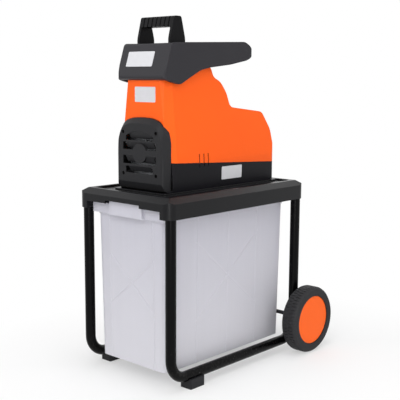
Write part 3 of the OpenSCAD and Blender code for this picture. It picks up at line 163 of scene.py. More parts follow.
class NodeSheet:
    """A node tree with one way to add nodes to it."""

    def __init__(self, tree: bpy.types.NodeTree) -> None:
        """Keep the tree."""
        self.tree = tree

    def node(self, kind: str, settings: dict, inputs: dict, output: str | int = 0) -> Sock:
        """Add a node.

        Args:
            kind: the node's type.
            settings: attributes to set first.
            inputs: values or links by socket name or number.
            output: name or number of the socket to hand back.

        Returns:
            The chosen output.
        """
        made = self.tree.nodes.new(kind)
        for name, value in settings.items():
            setattr(made, name, value)
        for key, value in inputs.items():
            if isinstance(value, Sock):
                self.tree.links.new(value.socket, made.inputs[key])
            else:
                made.inputs[key].default_value = value
        return Sock(self, made.outputs[output])

    def link(self, source: Sock, node: str, socket: str) -> None:
        """Lead a value to a socket of a node that is there already."""
        self.tree.links.new(source.socket, self.tree.nodes[node].inputs[socket])

    def seen_ray(self) -> Sock:
        """Mark the rays that show the background.

        Returns:
            1 for rays to the camera, in gloss and through glass, and 0 for others.
        """
        camera = self.node("ShaderNodeLightPath", {}, {}, "Is Camera Ray")
        gloss = self.node("ShaderNodeLightPath", {}, {}, "Is Glossy Ray")
        through = self.node("ShaderNodeLightPath", {}, {}, "Is Transmission Ray")
        return camera.larger(gloss).larger(through)


class Surface(NodeSheet):
    """A material's node tree round one surface shader, with the place on the object in metres."""

    SHADER = "Principled BSDF"
    EDGE_SAMPLES = 4
    EDGE_FROM = 0.985
    EDGE_GAIN = 6.0
    HOLLOW_SAMPLES = 6
    HOLLOW_FROM = 0.3
    HOLLOW_GAIN = 8.0

    def __init__(self, name: str, constants: dict[str, object]) -> None:
        """Make the material.

        Args:
            name: the material's name.
            constants: values that are the same all over, by socket.
        """
        self.material = bpy.data.materials.new(name)
        self.material.use_nodes = True
        super().__init__(self.material.node_tree)
        for socket, value in constants.items():
            self.tree.nodes[self.SHADER].inputs[socket].default_value = value
        self.place = self.node("ShaderNodeTexCoord", {}, {}, "Object")

    def fed(self, colour: Sock, roughness: Sock, normal: Sock) -> Surface:
        """Lead what varies to the surface shader.

        Args:
            colour: the colour.
            roughness: the roughness.
            normal: the normal.

        Returns:
            This surface.
        """
        self.link(colour, self.SHADER, "Base Color")
        self.link(roughness, self.SHADER, "Roughness")
        self.link(normal, self.SHADER, "Normal")
        return self

    def part(self, axis: str) -> Sock:
        """Give the place along one axis."""
        return self.node("ShaderNodeSeparateXYZ", {}, {0: self.place}, axis)

    def radius(self, axes: str, centre: tuple[float, float]) -> Sock:
        """Give the distance from an axis.

        Args:
            axes: the two ways that run across the axis.
            centre: where the axis is along these two.

        Returns:
            The distance in metres.
        """
        first = self.part(axes[0]) - centre[0]
        second = self.part(axes[1]) - centre[1]
        return (first * first + second * second) ** 0.5

    def stretched(self, lay: Lay) -> Sock:
        """Stretch the place so that a pattern runs along one way."""
        inputs = {0: self.place, 1: lay.value}
        return self.node("ShaderNodeVectorMath", {"operation": "MULTIPLY"}, inputs)

    def noise(self, scale: float, detail: float = 2.0, vector: Sock | None = None) -> Sock:
        """Give soft noise round 0.5, in patches per metre with finer layers on top."""
        inputs = {"Vector": vector or self.place, "Scale": scale, "Detail": detail}
        return self.node("ShaderNodeTexNoise", {"noise_dimensions": "3D"}, inputs)

    def mix(self, share: Sock, first: Sock | tuple, second: Sock | tuple) -> Sock:
        """Mix two colours, by a share that is 0 for the first and 1 for the second."""
        settings = {"data_type": "RGBA", "clamp_factor": True}
        return self.node("ShaderNodeMix", settings, {0: share, 6: first, 7: second}, 2)

    def tones(self, share: Sock, colour: Rgb, dark: float, light: float) -> Sock:
        """Mix a darker and a lighter tone of one colour."""
        return self.mix(share, rgba(colour, dark), rgba(colour, light))

    def rounded(self, radius: float) -> Sock:
        """Give normals as if every edge had this radius."""
        return self.node("ShaderNodeBevel", {"samples": self.EDGE_SAMPLES}, {"Radius": radius})

    def rim(self, rounded: Sock) -> Sock:
        """Give 1 on edges and 0 on open surface.

        Args:
            rounded: normals with soft edges.

        Returns:
            The edge mask.
        """
        plain = self.node("ShaderNodeNewGeometry", {}, {}, "Normal")
        settings = {"operation": "DOT_PRODUCT"}
        same = self.node("ShaderNodeVectorMath", settings, {0: rounded, 1: plain}, "Value")
        return ((self.EDGE_FROM - same) * self.EDGE_GAIN).clamped()

    def enclosed(self, reach: float) -> Sock:
        """Give 1 inside hollows and 0 outside, as the mask for painted shade.

        Args:
            reach: how far an open place has to be open.

        Returns:
            The hollows' mask.
        """
        settings, inputs = {"samples": self.HOLLOW_SAMPLES}, {"Distance": reach}
        open_share = self.node("ShaderNodeAmbientOcclusion", settings, inputs, "AO")
        return ((self.HOLLOW_FROM - open_share) * self.HOLLOW_GAIN).clamped()

    def bump(self, height: Sock, depth: float, normal: Sock | None = None) -> Sock:
        """Turn a height into a normal.

        Args:
            height: the height pattern.
            depth: what a height of 1 is worth, in metres.
            normal: normals to start from.

        Returns:
            The bumped normal.
        """
        inputs: dict = {"Height": height, "Distance": depth, "Strength": 1.0}
        if normal is not None:
            inputs["Normal"] = normal
        return self.node("ShaderNodeBump", {}, inputs)


@dataclass(frozen=True)
class Finish(ABC):
    """A surface finish that makes its own material.

    In its kinds, patches, specks and grain are counted per metre, depths and edges are in metres,
    and a span is how far the roughness spreads round the gloss value.
    """

    name: str

    def material(self) -> bpy.types.Material:
        """Give the finish's material, made on first use."""
        return bpy.data.materials.get(self.name) or self.shade().material

    @abstractmethod
    def shade(self) -> Surface:
        """Make the finish's nodes."""


@dataclass(frozen=True)
class MouldedPlastic(Finish):
    """Plastic with its mould's fine eroded grain, edges paler as wear and painted highlight."""

    colour: Rgb
    gloss: float = 0.45
    specular: float = 0.3
    grain: float = 1100.0
    grain_span: float = 0.16
    depth: float = 0.00005
    patches: float = 7.0
    patch_span: float = 0.12
    mottle: float = 0.10
    # paler edges: partly wear and partly painted highlight on rounded edges
    wear_and_highlight: float = 0.25
    wear_and_highlight_tone: float = 2.2
    edge: float = 0.0012
    # colour of the painted shade in hollows, and how far the occlusion test reaches
    dust_and_shade: Rgb = linear(24, 22, 21)
    hollow: float = 0.12

    def shade(self) -> Surface:
        """Make the finish's nodes.

        Returns:
            The dressed surface.
        """
        surface = Surface(self.name, {"Specular IOR Level": self.specular})
        broad = surface.noise(self.patches, detail=3.0)
        grain = surface.noise(self.grain)
        rounded = surface.rounded(self.edge)
        flow = surface.tones(broad, self.colour, 1 - self.mottle, 1 + self.mottle)
        # paler edges in patches, partly wear and partly painted highlight
        wear_and_highlight_mask = surface.rim(rounded) * (broad * self.wear_and_highlight)
        edged = surface.mix(wear_and_highlight_mask, flow, rgba(self.colour, self.wear_and_highlight_tone))
        # painted shade: darker where an occlusion test finds the place enclosed
        hollow = surface.enclosed(self.hollow)
        uneven = grain.spread(self.grain_span) + broad.spread(self.patch_span)
        colour = surface.mix(hollow, edged, rgba(self.dust_and_shade))
        return surface.fed(colour, uneven + self.gloss, surface.bump(grain, self.depth, rounded))


@dataclass(frozen=True)
class PowderCoat(Finish):
    """Gloss powder coat with orange peel, dulled by dust towards the ground."""

    colour: Rgb
    gloss: float = 0.3
    specular: float = 0.3
    peel: float = 420.0
    depth: float = 0.00004
    specks: float = 160.0
    speck_span: float = 0.1
    dust_and_shade: Rgb = linear(96, 92, 88)
    dust_top: float = 0.16
    dust_from: float = 0.45
    dust_share: float = 0.2

    def shade(self) -> Surface:
        """Make the finish's nodes.

        Returns:
            The dressed surface.
        """
        surface = Surface(self.name, {"Specular IOR Level": self.specular})
        peel = surface.noise(self.peel, detail=1.0)
        speck = surface.noise(self.specks, detail=4.0)
        low = (1.0 - surface.part("Z") * (1 / self.dust_top)).clamped()
        dusty = (low * (speck - self.dust_from)).clamped() * self.dust_share
        colour = surface.mix(dusty, rgba(self.colour), rgba(self.dust_and_shade))
        uneven = speck.spread(self.speck_span) + dusty
        return surface.fed(colour, uneven + self.gloss, surface.bump(peel, self.depth))


@dataclass(frozen=True)
class MilkyPlastic(Finish):
    """Thin translucent plastic, upright flow marks, frosted face, painted highlights on ribs."""

    colour: Rgb
    # paler colour at the bottom, as painted light
    foot: Rgb
    gloss: float = 0.42
    specular: float = 0.3
    through: float = 0.18
    scatter: float = 0.35
    scatter_depth: float = 0.006
    edge: float = 0.0015
    # height over which the painted light at the bottom fades out
    height: float = 0.4
    mottle: float = 0.03
    # strength and tone of the painted highlight on ribs and edges
    rib_highlight_share: float = 0.9
    rib_highlight_tone: float = 1.5
    flow_span: float = 0.1
    frost: float = 1300.0
    frost_span: float = 0.14
    frost_height: float = 0.4
    depth: float = 0.00025

    def shade(self) -> Surface:
        """Make the finish's nodes.

        Returns:
            The dressed surface.
        """
        constants = {
            "Specular IOR Level": self.specular,
            "Transmission Weight": self.through,
            "Subsurface Weight": self.scatter,
            "Subsurface Radius": (1.0, 1.0, 1.0),
            "Subsurface Scale": self.scatter_depth,
        }
        surface = Surface(self.name, constants)
        flow = surface.noise(1.0, detail=3.0, vector=surface.stretched(Lay.UPRIGHT))
        frost = surface.noise(self.frost)
        rounded = surface.rounded(self.edge)
        # painted light: paler towards the bottom, fading out upwards
        painted_light_fade = (surface.part("Z") * (1 / self.height)).clamped()
        marks = surface.tones(flow, self.colour, 1 - self.mottle, 1 + self.mottle)
        body = surface.mix(painted_light_fade, rgba(self.foot), marks)
        # painted highlight: ribs and edges paler
        ribs = surface.rim(rounded) * self.rib_highlight_share
        uneven = frost.spread(self.frost_span) + flow.spread(self.flow_span)
        height = frost * self.frost_height + flow
        colour = surface.mix(ribs, body, rgba(self.colour, self.rib_highlight_tone))
        return surface.fed(colour, uneven + self.gloss, surface.bump(height, self.depth, rounded))


@dataclass(frozen=True)
class TyreRubber(Finish):
    """Matt rubber with fine rings round the axle and dust in the tread."""

    colour: Rgb
    dust_and_shade: Rgb
    axle: tuple[float, float]
    tread_from: float
    tread_gain: float = 300.0
    gloss: float = 0.7
    specular: float = 0.3
    ring: float = 0.003
    ring_height: float = 0.5
    grain: float = 1500.0
    specks: float = 260.0
    speck_span: float = 0.2
    dust_from: float = 0.35
    dust_share: float = 0.5
    depth: float = 0.00008
    edge: float = 0.0008

    def shade(self) -> Surface:
        """Make the finish's nodes.

        Returns:
            The dressed surface.
        """
        surface = Surface(self.name, {"Specular IOR Level": self.specular})
        radius = surface.radius("YZ", self.axle)
        rings = radius.wave(self.ring)
        speck = surface.noise(self.specks, detail=4.0)
        grain = surface.noise(self.grain)
        tread = ((radius - self.tread_from) * self.tread_gain).clamped()
        dusty = (tread * (speck - self.dust_from)).clamped() * self.dust_share
        height = rings * (1.0 - tread) * self.ring_height + grain
        colour = surface.mix(dusty, rgba(self.colour), rgba(self.dust_and_shade))
        normal = surface.bump(height, self.depth, surface.rounded(self.edge))
        return surface.fed(colour, speck.spread(self.speck_span) + self.gloss, normal)


@dataclass(frozen=True)
class BareMetal(Finish):
    """Machined, plated or cast metal with marks that run one way."""

    colour: Rgb
    gloss: float
    lay: Lay
    depth: float = 0.00003
    mottle: float = 0.25
    mark_span: float = 0.25
    patches: float = 45.0
    patch_span: float = 0.2

    def shade(self) -> Surface:
        """Make the finish's nodes.

        Returns:
            The dressed surface.
        """
        surface = Surface(self.name, {"Metallic": 1.0})
        marks = surface.noise(1.0, vector=surface.stretched(self.lay))
        patch = surface.noise(self.patches, detail=4.0)
        tone = surface.tones(patch, self.colour, 1 - self.mottle, 1 + self.mottle)
        uneven = marks.spread(self.mark_span) + patch.spread(self.patch_span)
        return surface.fed(tone, uneven + self.gloss, surface.bump(marks, self.depth))


@dataclass(frozen=True)
class StackedSheet(Finish):
    """Steel sheets pressed into a stack, edges showing as fine lines across the motor's axis."""

    colour: Rgb
    sheet: float = 0.0008
    dark: float = 0.6
    light: float = 1.15
    line_share: float = 0.5
    patches: float = 60.0
    patch_share: float = 0.4
    patch_span: float = 0.3
    gloss: float = 0.3
    depth: float = 0.0001

    def shade(self) -> Surface:
        """Make the finish's nodes.

        Returns:
            The dressed surface.
        """
        surface = Surface(self.name, {"Metallic": 1.0})
        lines = surface.part("Y").wave(self.sheet).lifted()
        patch = surface.noise(self.patches, detail=4.0)
        share = lines * self.line_share + patch * self.patch_share
        tone = surface.tones(share, self.colour, self.dark, self.light)
        rough = patch * self.patch_span + self.gloss
        return surface.fed(tone, rough, surface.bump(lines, self.depth))


@dataclass(frozen=True)
class WoundWire(Finish):
    """Varnished copper wire laid round the motor's axis."""

    colour: Rgb
    axis: tuple[float, float]
    wire: float = 0.0009
    metal: float = 0.75
    varnish: float = 0.4
    dark: float = 0.45
    light: float = 1.2
    strand_share: float = 0.6
    patches: float = 80.0
    patch_share: float = 0.4
    patch_span: float = 0.25
    gloss: float = 0.25
    depth: float = 0.0003

    def shade(self) -> Surface:
        """Make the finish's nodes.

        Returns:
            The dressed surface.
        """
        surface = Surface(self.name, {"Metallic": self.metal, "Coat Weight": self.varnish})
        round_it = surface.radius("XZ", self.axis).wave(self.wire)
        along_it = surface.part("Y").wave(self.wire)
        strands = (round_it * along_it).lifted()
        patch = surface.noise(self.patches, detail=3.0)
        share = strands * self.strand_share + patch * self.patch_share
        tone = surface.tones(share, self.colour, self.dark, self.light)
        rough = patch * self.patch_span + self.gloss
        return surface.fed(tone, rough, surface.bump(strands, self.depth))


@dataclass(frozen=True)
class PlateFilm(Finish):
    """Satin film or print, slightly uneven where it was rubbed down."""

    colour: Rgb
    gloss: float = 0.35
    specular: float = 0.4
    dark: float = 0.95
    light: float = 1.03
    patches: float = 90.0
    patch_span: float = 0.25
    patch_height: float = 0.6
    grain: float = 1800.0
    grain_height: float = 0.2
    depth: float = 0.0001

    def shade(self) -> Surface:
        """Make the finish's nodes.

        Returns:
            The dressed surface.
        """
        surface = Surface(self.name, {"Specular IOR Level": self.specular})
        patch = surface.noise(self.patches, detail=3.0)
        grain = surface.noise(self.grain)
        height = patch * self.patch_height + grain * self.grain_height
        tone = surface.tones(patch, self.colour, self.dark, self.light)
        rough = patch.spread(self.patch_span) + self.gloss
        return surface.fed(tone, rough, surface.bump(height, self.depth))


class Bench:
    """Hand-modelling steps, each starting from a cleared selection."""

    SMOOTH_BELOW = math.radians(35)

    @staticmethod
    def clear() -> None:
        """Leave edit mode and deselect everything."""
        if bpy.context.object is not None and bpy.context.object.mode != "OBJECT":
            bpy.ops.object.mode_set(mode="OBJECT")
        bpy.ops.object.select_all(action="DESELECT")

    @staticmethod
    def hold(piece: bpy.types.Object) -> None:
        """Select one object alone and make it the active one.

        Args:
            piece: the object.
        """
        Bench.clear()
        piece.select_set(True)
        bpy.context.view_layer.objects.active = piece

    @staticmethod
    def started(name: str) -> bpy.types.Object:
        """Name the primitive that was just added and fix its size in its mesh.

        Args:
            name: the new piece's name.

        Returns:
            The new piece.
        """
        piece = bpy.context.object
        piece.name = piece.data.name = name
        bpy.ops.object.transform_apply(location=True, rotation=True, scale=True)
        return piece

    @staticmethod
    @contextmanager
    def editing(piece: bpy.types.Object, selected: str = "DESELECT") -> Iterator[None]:
        """Work on a piece's mesh.

        Args:
            piece: the piece.
            selected: SELECT to start with all of it selected, or DESELECT with none.

        Returns:
            The context to work in.
        """
        Bench.hold(piece)
        bpy.ops.object.mode_set(mode="EDIT")
        bpy.ops.mesh.select_all(action=selected)
        yield
        bpy.ops.object.mode_set(mode="OBJECT")

    @staticmethod
    def pick_faces(piece: bpy.types.Object, test: Callable[[bmesh.types.BMFace], bool]) -> None:
        """Select some faces of a mesh in edit mode.

        Args:
            piece: the piece.
            test: says of a face whether it is selected.
        """
        bpy.ops.mesh.select_mode(type="FACE")
        mesh = bmesh.from_edit_mesh(piece.data)
        for face in mesh.faces:
            face.select_set(test(face))
        bmesh.update_edit_mesh(piece.data)

    @staticmethod
    def extrude(height: float) -> None:
        """Extrude what is selected along Z."""
        bpy.ops.mesh.extrude_region_move(TRANSFORM_OT_translate={"value": (0, 0, height)})

    @staticmethod
    def settle(piece: bpy.types.Object, place: Matrix) -> None:
        """Move a piece to its place and put that place in its mesh.

        Args:
            piece: the piece.
            place: where it goes.
        """
        Bench.hold(piece)
        piece.matrix_world = place
        bpy.context.view_layer.update()
        bpy.ops.object.transform_apply(location=True, rotation=True, scale=True)

    @staticmethod
    def copied(piece: bpy.types.Object, place: Matrix) -> bpy.types.Object:
        """Copy a piece with its own mesh and settle the copy.

        Args:
            piece: the piece to copy.
            place: where the copy goes.

        Returns:
            The copy.
        """
        Bench.hold(piece)
        bpy.ops.object.duplicate(linked=False)
        made = bpy.context.object
        Bench.settle(made, place)
        return made

    @staticmethod
    def joined(pieces: list[bpy.types.Object], name: str) -> bpy.types.Object:
        """Join pieces into one object.

        Args:
            pieces: the pieces.
            name: the joined object's name.

        Returns:
            The joined object.
        """
        Bench.hold(pieces[0])
        for piece in pieces:
            piece.select_set(True)
        bpy.ops.object.join()
        pieces[0].name = pieces[0].data.name = name
        return pieces[0]

    @staticmethod
    def finished(piece: bpy.types.Object, finish: Finish, body: str, slot: str) -> None:
        """Smooth a new piece, give it its finish, and let it ride.

        Args:
            piece: the new piece.
            finish: its finish.
            body: the body it moves with.
            slot: the record's material slot; not used.
        """
        Bench.hold(piece)
        bpy.ops.object.shade_smooth_by_angle(angle=Bench.SMOOTH_BELOW)
        piece.data.materials.clear()
        piece.data.materials.append(finish.material())
        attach(piece, body)
        log.info("%s made, riding on %s", piece.name, body)


def facing(point: Vector, normal: Vector, up: Vector) -> Matrix:
    """Give the place of a flat piece on a surface.

    Args:
        point: a point of the surface.
        normal: the way that the surface faces.
        up: a way that is up on the piece.

    Returns:
        A matrix that takes the piece's X to the right, its Y up and its Z outwards.
    """
    right = up.cross(normal).normalized()
    upright = normal.cross(right).normalized()
    turn = Matrix((right, upright, normal.normalized())).transposed().to_4x4()
    return Matrix.Translation(point) @ turn


def touched(node: str, start: Point, way: Point) -> tuple[Vector, Vector]:
    """Find where a straight line first meets a CAD node.

    Args:
        node: the CAD node.
        start: where the line starts, in metres.
        way: its direction.

    Returns:
        The point and the way that the surface faces there.
    """
    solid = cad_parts[node]
    met, point, normal, _ = solid.ray_cast(Vector(start), Vector(way).normalized())
    if not met:
        raise ValueError(f"the line misses {node}")
    return point, normal


def solids(node: str) -> list[tuple[Vector, Vector]]:
    """Find the box of each separate solid of a CAD node.

    Args:
        node: the CAD node.

    Returns:
        The lowest and highest corner of each solid.
    """
    merged = bmesh.new()
    merged.from_mesh(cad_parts[node].data)
    bmesh.ops.remove_doubles(merged, verts=merged.verts, dist=0.01 * MM)
    left, boxes = set(merged.verts), []
    while left:
        reached, waiting = set(), [left.pop()]
        while waiting:
            corner = waiting.pop()
            reached.add(corner)
            near = {edge.other_vert(corner) for edge in corner.link_edges} & left
            left -= near
            waiting += near
        places = [corner.co for corner in reached]
        low = Vector(min(place[axis] for place in places) for axis in range(3))
        high = Vector(max(place[axis] for place in places) for axis in range(3))
        boxes.append((low, high))
    merged.free()
    return sorted(boxes, key=lambda box: tuple(box[0]))


@dataclass
class Screws:
    """A group of pan-head screws with cross recesses, in place of plain screws of the frame.

    The shares are parts of the head's height or diameter, or of what they narrow.
    """

    node: str
    side: Side
    middle: float = 0.0
    corners: int = 32
    head_h: float = 3.0 * MM
    dome_share: float = 0.45
    dome_steps: int = 4
    shoulder_share: float = 0.23
    tip_h: float = 1.2 * MM
    tip_share: float = 0.6
    recess: float = 1.6 * MM
    recess_long: float = 0.6
    recess_wide: float = 0.14
    recess_taper: float = 0.75

    def bar(self, size: tuple[float, float]) -> bpy.types.Object:
        """Model one bar of the cross that is cut from the head.

        Args:
            size: the bar's size across X and Y.

        Returns:
            The bar, on top of the head and narrower below.
        """
        Bench.clear()
        bpy.ops.mesh.primitive_cube_add(size=1, location=(0, 0, self.head_h))
        bpy.context.object.scale = (*size, 2 * self.recess)
        bar = Bench.started("recess_bar")
        with Bench.editing(bar):
            Bench.pick_faces(bar, lambda face: face.normal.z < -LEVEL)
            bpy.ops.transform.resize(value=(self.recess_taper, self.recess_taper, 1.0))
        return bar

    def model(self, head_d: float, length: float) -> bpy.types.Object:
        """Model one screw with its head's underside at the origin, head up.

        Args:
            head_d: the head's diameter.
            length: the shank's length.

        Returns:
            The screw.
        """
        Bench.clear()
        middle = (0, 0, self.head_h / 2)
        bpy.ops.mesh.primitive_cylinder_add(
            vertices=self.corners, radius=head_d / 2, depth=self.head_h, location=middle
        )
        screw = Bench.started("screw")
        with Bench.editing(screw):
            Bench.pick_faces(screw, lambda face: face.normal.z > LEVEL)
            dome = self.head_h * self.dome_share
            bpy.ops.mesh.bevel(offset=dome, segments=self.dome_steps, affect="EDGES")
        with Bench.editing(screw):
            Bench.pick_faces(screw, lambda face: face.normal.z < -LEVEL)
            bpy.ops.mesh.inset(thickness=head_d * self.shoulder_share)
            Bench.extrude(self.tip_h - length)
            Bench.extrude(-self.tip_h)
            bpy.ops.transform.resize(value=(self.tip_share, self.tip_share, 1.0))
        long, wide = head_d * self.recess_long, head_d * self.recess_wide
        for bar in [self.bar(size) for size in ((long, wide), (wide, long))]:
            Bench.hold(screw)
            cut = screw.modifiers.new("recess", "BOOLEAN")
            cut.operation, cut.object, cut.solver = "DIFFERENCE", bar, "EXACT"
            bpy.ops.object.modifier_apply(modifier=cut.name)
            bpy.data.objects.remove(bar)
        return screw

    def way(self, centre: Vector) -> Vector:
        """Give the way that a head faces at a place.

        Args:
            centre: the screw's middle.

        Returns:
            The way, which for the side MIDDLE is towards the machine's middle along Y.
        """
        if self.side is Side.MIDDLE:
            return Vector((0, 1 if centre.y < self.middle else -1, 0))
        return Vector(self.side.value)

    def build(self, finish: Finish) -> None:
        """Model one screw and put a copy in the place of each plain one.

        Args:
            finish: the screws' finish.
        """
        boxes = solids(self.node)
        low, high = boxes[0]
        axis = max(range(3), key=lambda index: abs(self.way(low)[index]))
        across, tall = (axis + 1) % 3, high[axis] - low[axis]
        screw = self.model(high[across] - low[across], tall - self.head_h)
        made: list[bpy.types.Object] = []
        for low, high in boxes:
            centre = (low + high) / 2
            way = self.way(centre)
            face = centre + way * (tall / 2 - self.head_h)
            made.append(Bench.copied(screw, facing(face, way, ALONG_X)))
        bpy.data.objects.remove(screw)
        group = Bench.joined(made, f"{self.node}_crosshead")
        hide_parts(self.node)
        Bench.finished(group, finish, "machine", "zinc_steel")


@dataclass
class BarePlate:
    """A bare plate with round corners and a raised rim, laid on a shell."""

    name: str
    host: str
    start: Point
    way: Point
    width: float
    height: float
    thickness: float = 0.7 * MM
    corner: float = 3.0 * MM
    corner_steps: int = 5
    rim: float = 1.4 * MM
    slope: float = 0.3 * MM
    sunk: float = 0.25 * MM
    bed: float = 0.1 * MM

    def build(self, finish: Finish) -> None:
        """Model the plate flat and lay it on its shell.

        Args:
            finish: the plate's finish.
        """
        Bench.clear()
        bpy.ops.mesh.primitive_plane_add(size=1)
        bpy.context.object.scale = (self.width, self.height, 1)
        plate = Bench.started(self.name)
        with Bench.editing(plate, "SELECT"):
            bpy.ops.mesh.bevel(offset=self.corner, segments=self.corner_steps, affect="VERTICES")
        with Bench.editing(plate, "SELECT"):
            Bench.extrude(self.thickness)
            bpy.ops.mesh.inset(thickness=self.rim)
            bpy.ops.mesh.inset(thickness=self.slope, depth=-self.sunk)
        with Bench.editing(plate, "SELECT"):
            bpy.ops.mesh.normals_make_consistent(inside=False)
        point, normal = touched(self.host, self.start, self.way)
        Bench.settle(plate, facing(point - normal * self.bed, normal, ALONG_Z))
        Bench.finished(plate, finish, "machine", "capacitor_shell")


class SubAssembly(ABC):
    """A group of pieces that are built and dressed together."""

    def dress(self, finish: Finish, *nodes: str) -> None:
        """Give CAD nodes a finish.

        Args:
            finish: the finish.
            nodes: the nodes' names.
        """
        for name in nodes:
            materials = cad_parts[name].data.materials
            materials.clear()
            materials.append(finish.material())
            log.info("%s dressed in %s", name, finish.name)

    @abstractmethod
    def build(self) -> None:
        """Build and dress the pieces."""


ZINC = BareMetal("zinc plate", linear(190, 192, 196), 0.32, Lay.ROUND)
BLACK_ZINC = BareMetal("black zinc", linear(60, 60, 62), 0.4, Lay.ROUND)
GROUND_STEEL = BareMetal("ground steel", linear(176, 178, 182), 0.25, Lay.ALONG_Y)
TOOL_STEEL = BareMetal("tool steel", linear(150, 152, 156), 0.34, Lay.ALONG_X)
CAST_ALLOY = BareMetal("cast alloy", linear(178, 180, 184), 0.5, Lay.ROUND, 0.0001, 0.12)
BRONZE = BareMetal("gear bronze", linear(196, 148, 82), 0.3, Lay.ALONG_Y)
BRASS = BareMetal("pin brass", linear(214, 178, 98), 0.28, Lay.ALONG_Y)
WHITE_FILM = PlateFilm("white film", linear(202, 202, 206))


@dataclass
class TubeFrame(SubAssembly):
    """Two bent tube side frames with their front feet."""

    middle: float = -38 * MM
    coat: PowderCoat = PowderCoat("black powder coat", linear(2, 2, 3), 0.24, 0.1)
    foot: MouldedPlastic = MouldedPlastic("foot plastic", linear(30, 30, 33), 0.5, 0.2)

    def build(self) -> None:
        """Dress the tubes and feet and model their screws."""
        self.dress(self.coat, "frame_tube_left", "frame_tube_right")
        self.dress(self.foot, "front_feet")
        Screws("leg_screws", Side.MIDDLE, self.middle).build(BLACK_ZINC)
        Screws("foot_screws", Side.DOWN).build(ZINC)


@dataclass
class Deck(SubAssembly):
    """The moulded deck between the frame and the body."""

    # strong paler edges: painted highlight on the deck's corners and edges
    plastic: MouldedPlastic = MouldedPlastic(
        "deck plastic", linear(12, 12, 15), 0.36, 0.2, edge=0.003, wear_and_highlight=0.5
    )

    def build(self) -> None:
        """Dress the deck and model its bolts."""
        self.dress(self.plastic, "deck")
        Screws("deck_bolts", Side.DOWN).build(ZINC)


@dataclass
class Wheels(SubAssembly):
    """Two wheels with tyres, rims and plain discs on one axle."""

    tyre: TyreRubber = TyreRubber(
        "tyre rubber", linear(33, 33, 36), linear(78, 76, 74), (225 * MM, 98 * MM), 88 * MM
    )
    rim: MouldedPlastic = MouldedPlastic("rim plastic", linear(36, 36, 38), 0.5, 0.25)
    disc: MouldedPlastic = MouldedPlastic(
        "disc plastic", (0.98, 0.13, 0.008), 0.4, 0.14, mottle=0.05
    )

    def build(self) -> None:
        """Dress the wheels and their axle."""
        self.dress(self.tyre, "tyre_left", "tyre_right")
        self.dress(self.rim, "wheel_rim_left", "wheel_rim_right")
        self.dress(self.disc, "wheel_disc_left", "wheel_disc_right")
        self.dress(BLACK_ZINC, "wheel_axle", "axle_spacers")
        self.dress(ZINC, "axle_clips")


@dataclass
class CollectionBox(SubAssembly):
    """The milky box that hangs under the deck."""

    # its second colour is painted light, paler at the bottom of the box
    plastic: MilkyPlastic = MilkyPlastic(
        "milky plastic", linear(206, 205, 215), linear(224, 223, 230)
    )

    def build(self) -> None:
        """Dress the box."""
        self.dress(self.plastic, "collection_box")


@dataclass
class BodyShells(SubAssembly):
    """Base, orange cover and louvred front cover, with their bare plates."""

    cover: MouldedPlastic = MouldedPlastic(
        "orange shell", (0.93, 0.112, 0.008), 0.42, 0.14, mottle=0.04, wear_and_highlight=0.10
    )
    base: MouldedPlastic = MouldedPlastic(
        "base plastic", linear(13, 12, 17), 0.38, 0.14, edge=0.002
    )
    front: MouldedPlastic = MouldedPlastic(
        "front plastic", linear(36, 36, 38), 0.45, 0.15, edge=0.0015
    )
    plates: list[BarePlate] = field(
        default_factory=lambda: [
            BarePlate("front_plate", "body_cover", (0.0060, -0.5, 0.762), (0, 1, 0), 0.077, 0.040),
            BarePlate(
                "side_plate", "base_housing", (0.5, 0.0075, 0.5455), (-1, 0, 0), 0.086, 0.036
            ),
        ]
    )

    def build(self) -> None:
        """Dress the shells, model the cover's screws and lay the plates."""
        self.dress(self.cover, "body_cover")
        self.dress(self.base, "base_housing")
        self.dress(self.front, "front_cover")
        self.dress(ZINC, "body_screws")
        Screws("front_cover_screws", Side.FRONT).build(BLACK_ZINC)
        for plate in self.plates:
            plate.build(WHITE_FILM)


@dataclass
class Hopper(SubAssembly):
    """The hood with its feed tray, and the pusher."""

    hood: MouldedPlastic = MouldedPlastic(
        "hood plastic", linear(42, 41, 45), 0.42, 0.18, edge=0.003
    )
    # strong paler edges: painted highlight on the pusher's edges
    grip: MouldedPlastic = MouldedPlastic(
        "pusher plastic", linear(7, 7, 9), 0.36, 0.11, edge=0.002, wear_and_highlight=0.5
    )
    plate: BarePlate = field(
        default_factory=lambda: BarePlate(
            "hood_plate", "hopper_hood", (-0.014, -0.5, 0.8535), (0, 1, 0), 0.098, 0.041
        )
    )

    def build(self) -> None:
        """Dress the hopper and lay its plate."""
        self.dress(self.hood, "hopper_hood")
        self.dress(self.grip, "pusher")
        self.dress(ZINC, "hopper_screws")
        self.plate.build(WHITE_FILM)


@dataclass
class CutterUnit(SubAssembly):
    """The cutting roller, its frame and the plate it cuts against."""

    knob: MouldedPlastic = MouldedPlastic("knob plastic", linear(40, 40, 43), 0.5, 0.3)

    def build(self) -> None:
        """Dress the cutter."""
        self.dress(CAST_ALLOY, "cutter_frame", "counter_plate")
        self.dress(GROUND_STEEL, "roller_bearings", "roller_shaft", "adjusting_screw")
        self.dress(TOOL_STEEL, "cutting_roller")
        self.dress(self.knob, "adjusting_knob")


@dataclass
class GearTrain(SubAssembly):
    """The two-stage gearbox between motor and roller."""

    def build(self) -> None:
        """Dress the gearbox."""
        self.dress(CAST_ALLOY, "gearbox_housing", "gearbox_cover")
        self.dress(ZINC, "gearbox_screws")
        self.dress(BRONZE, "output_gear", "layshaft_gear")
        self.dress(GROUND_STEEL, "layshaft", "layshaft_bearings")


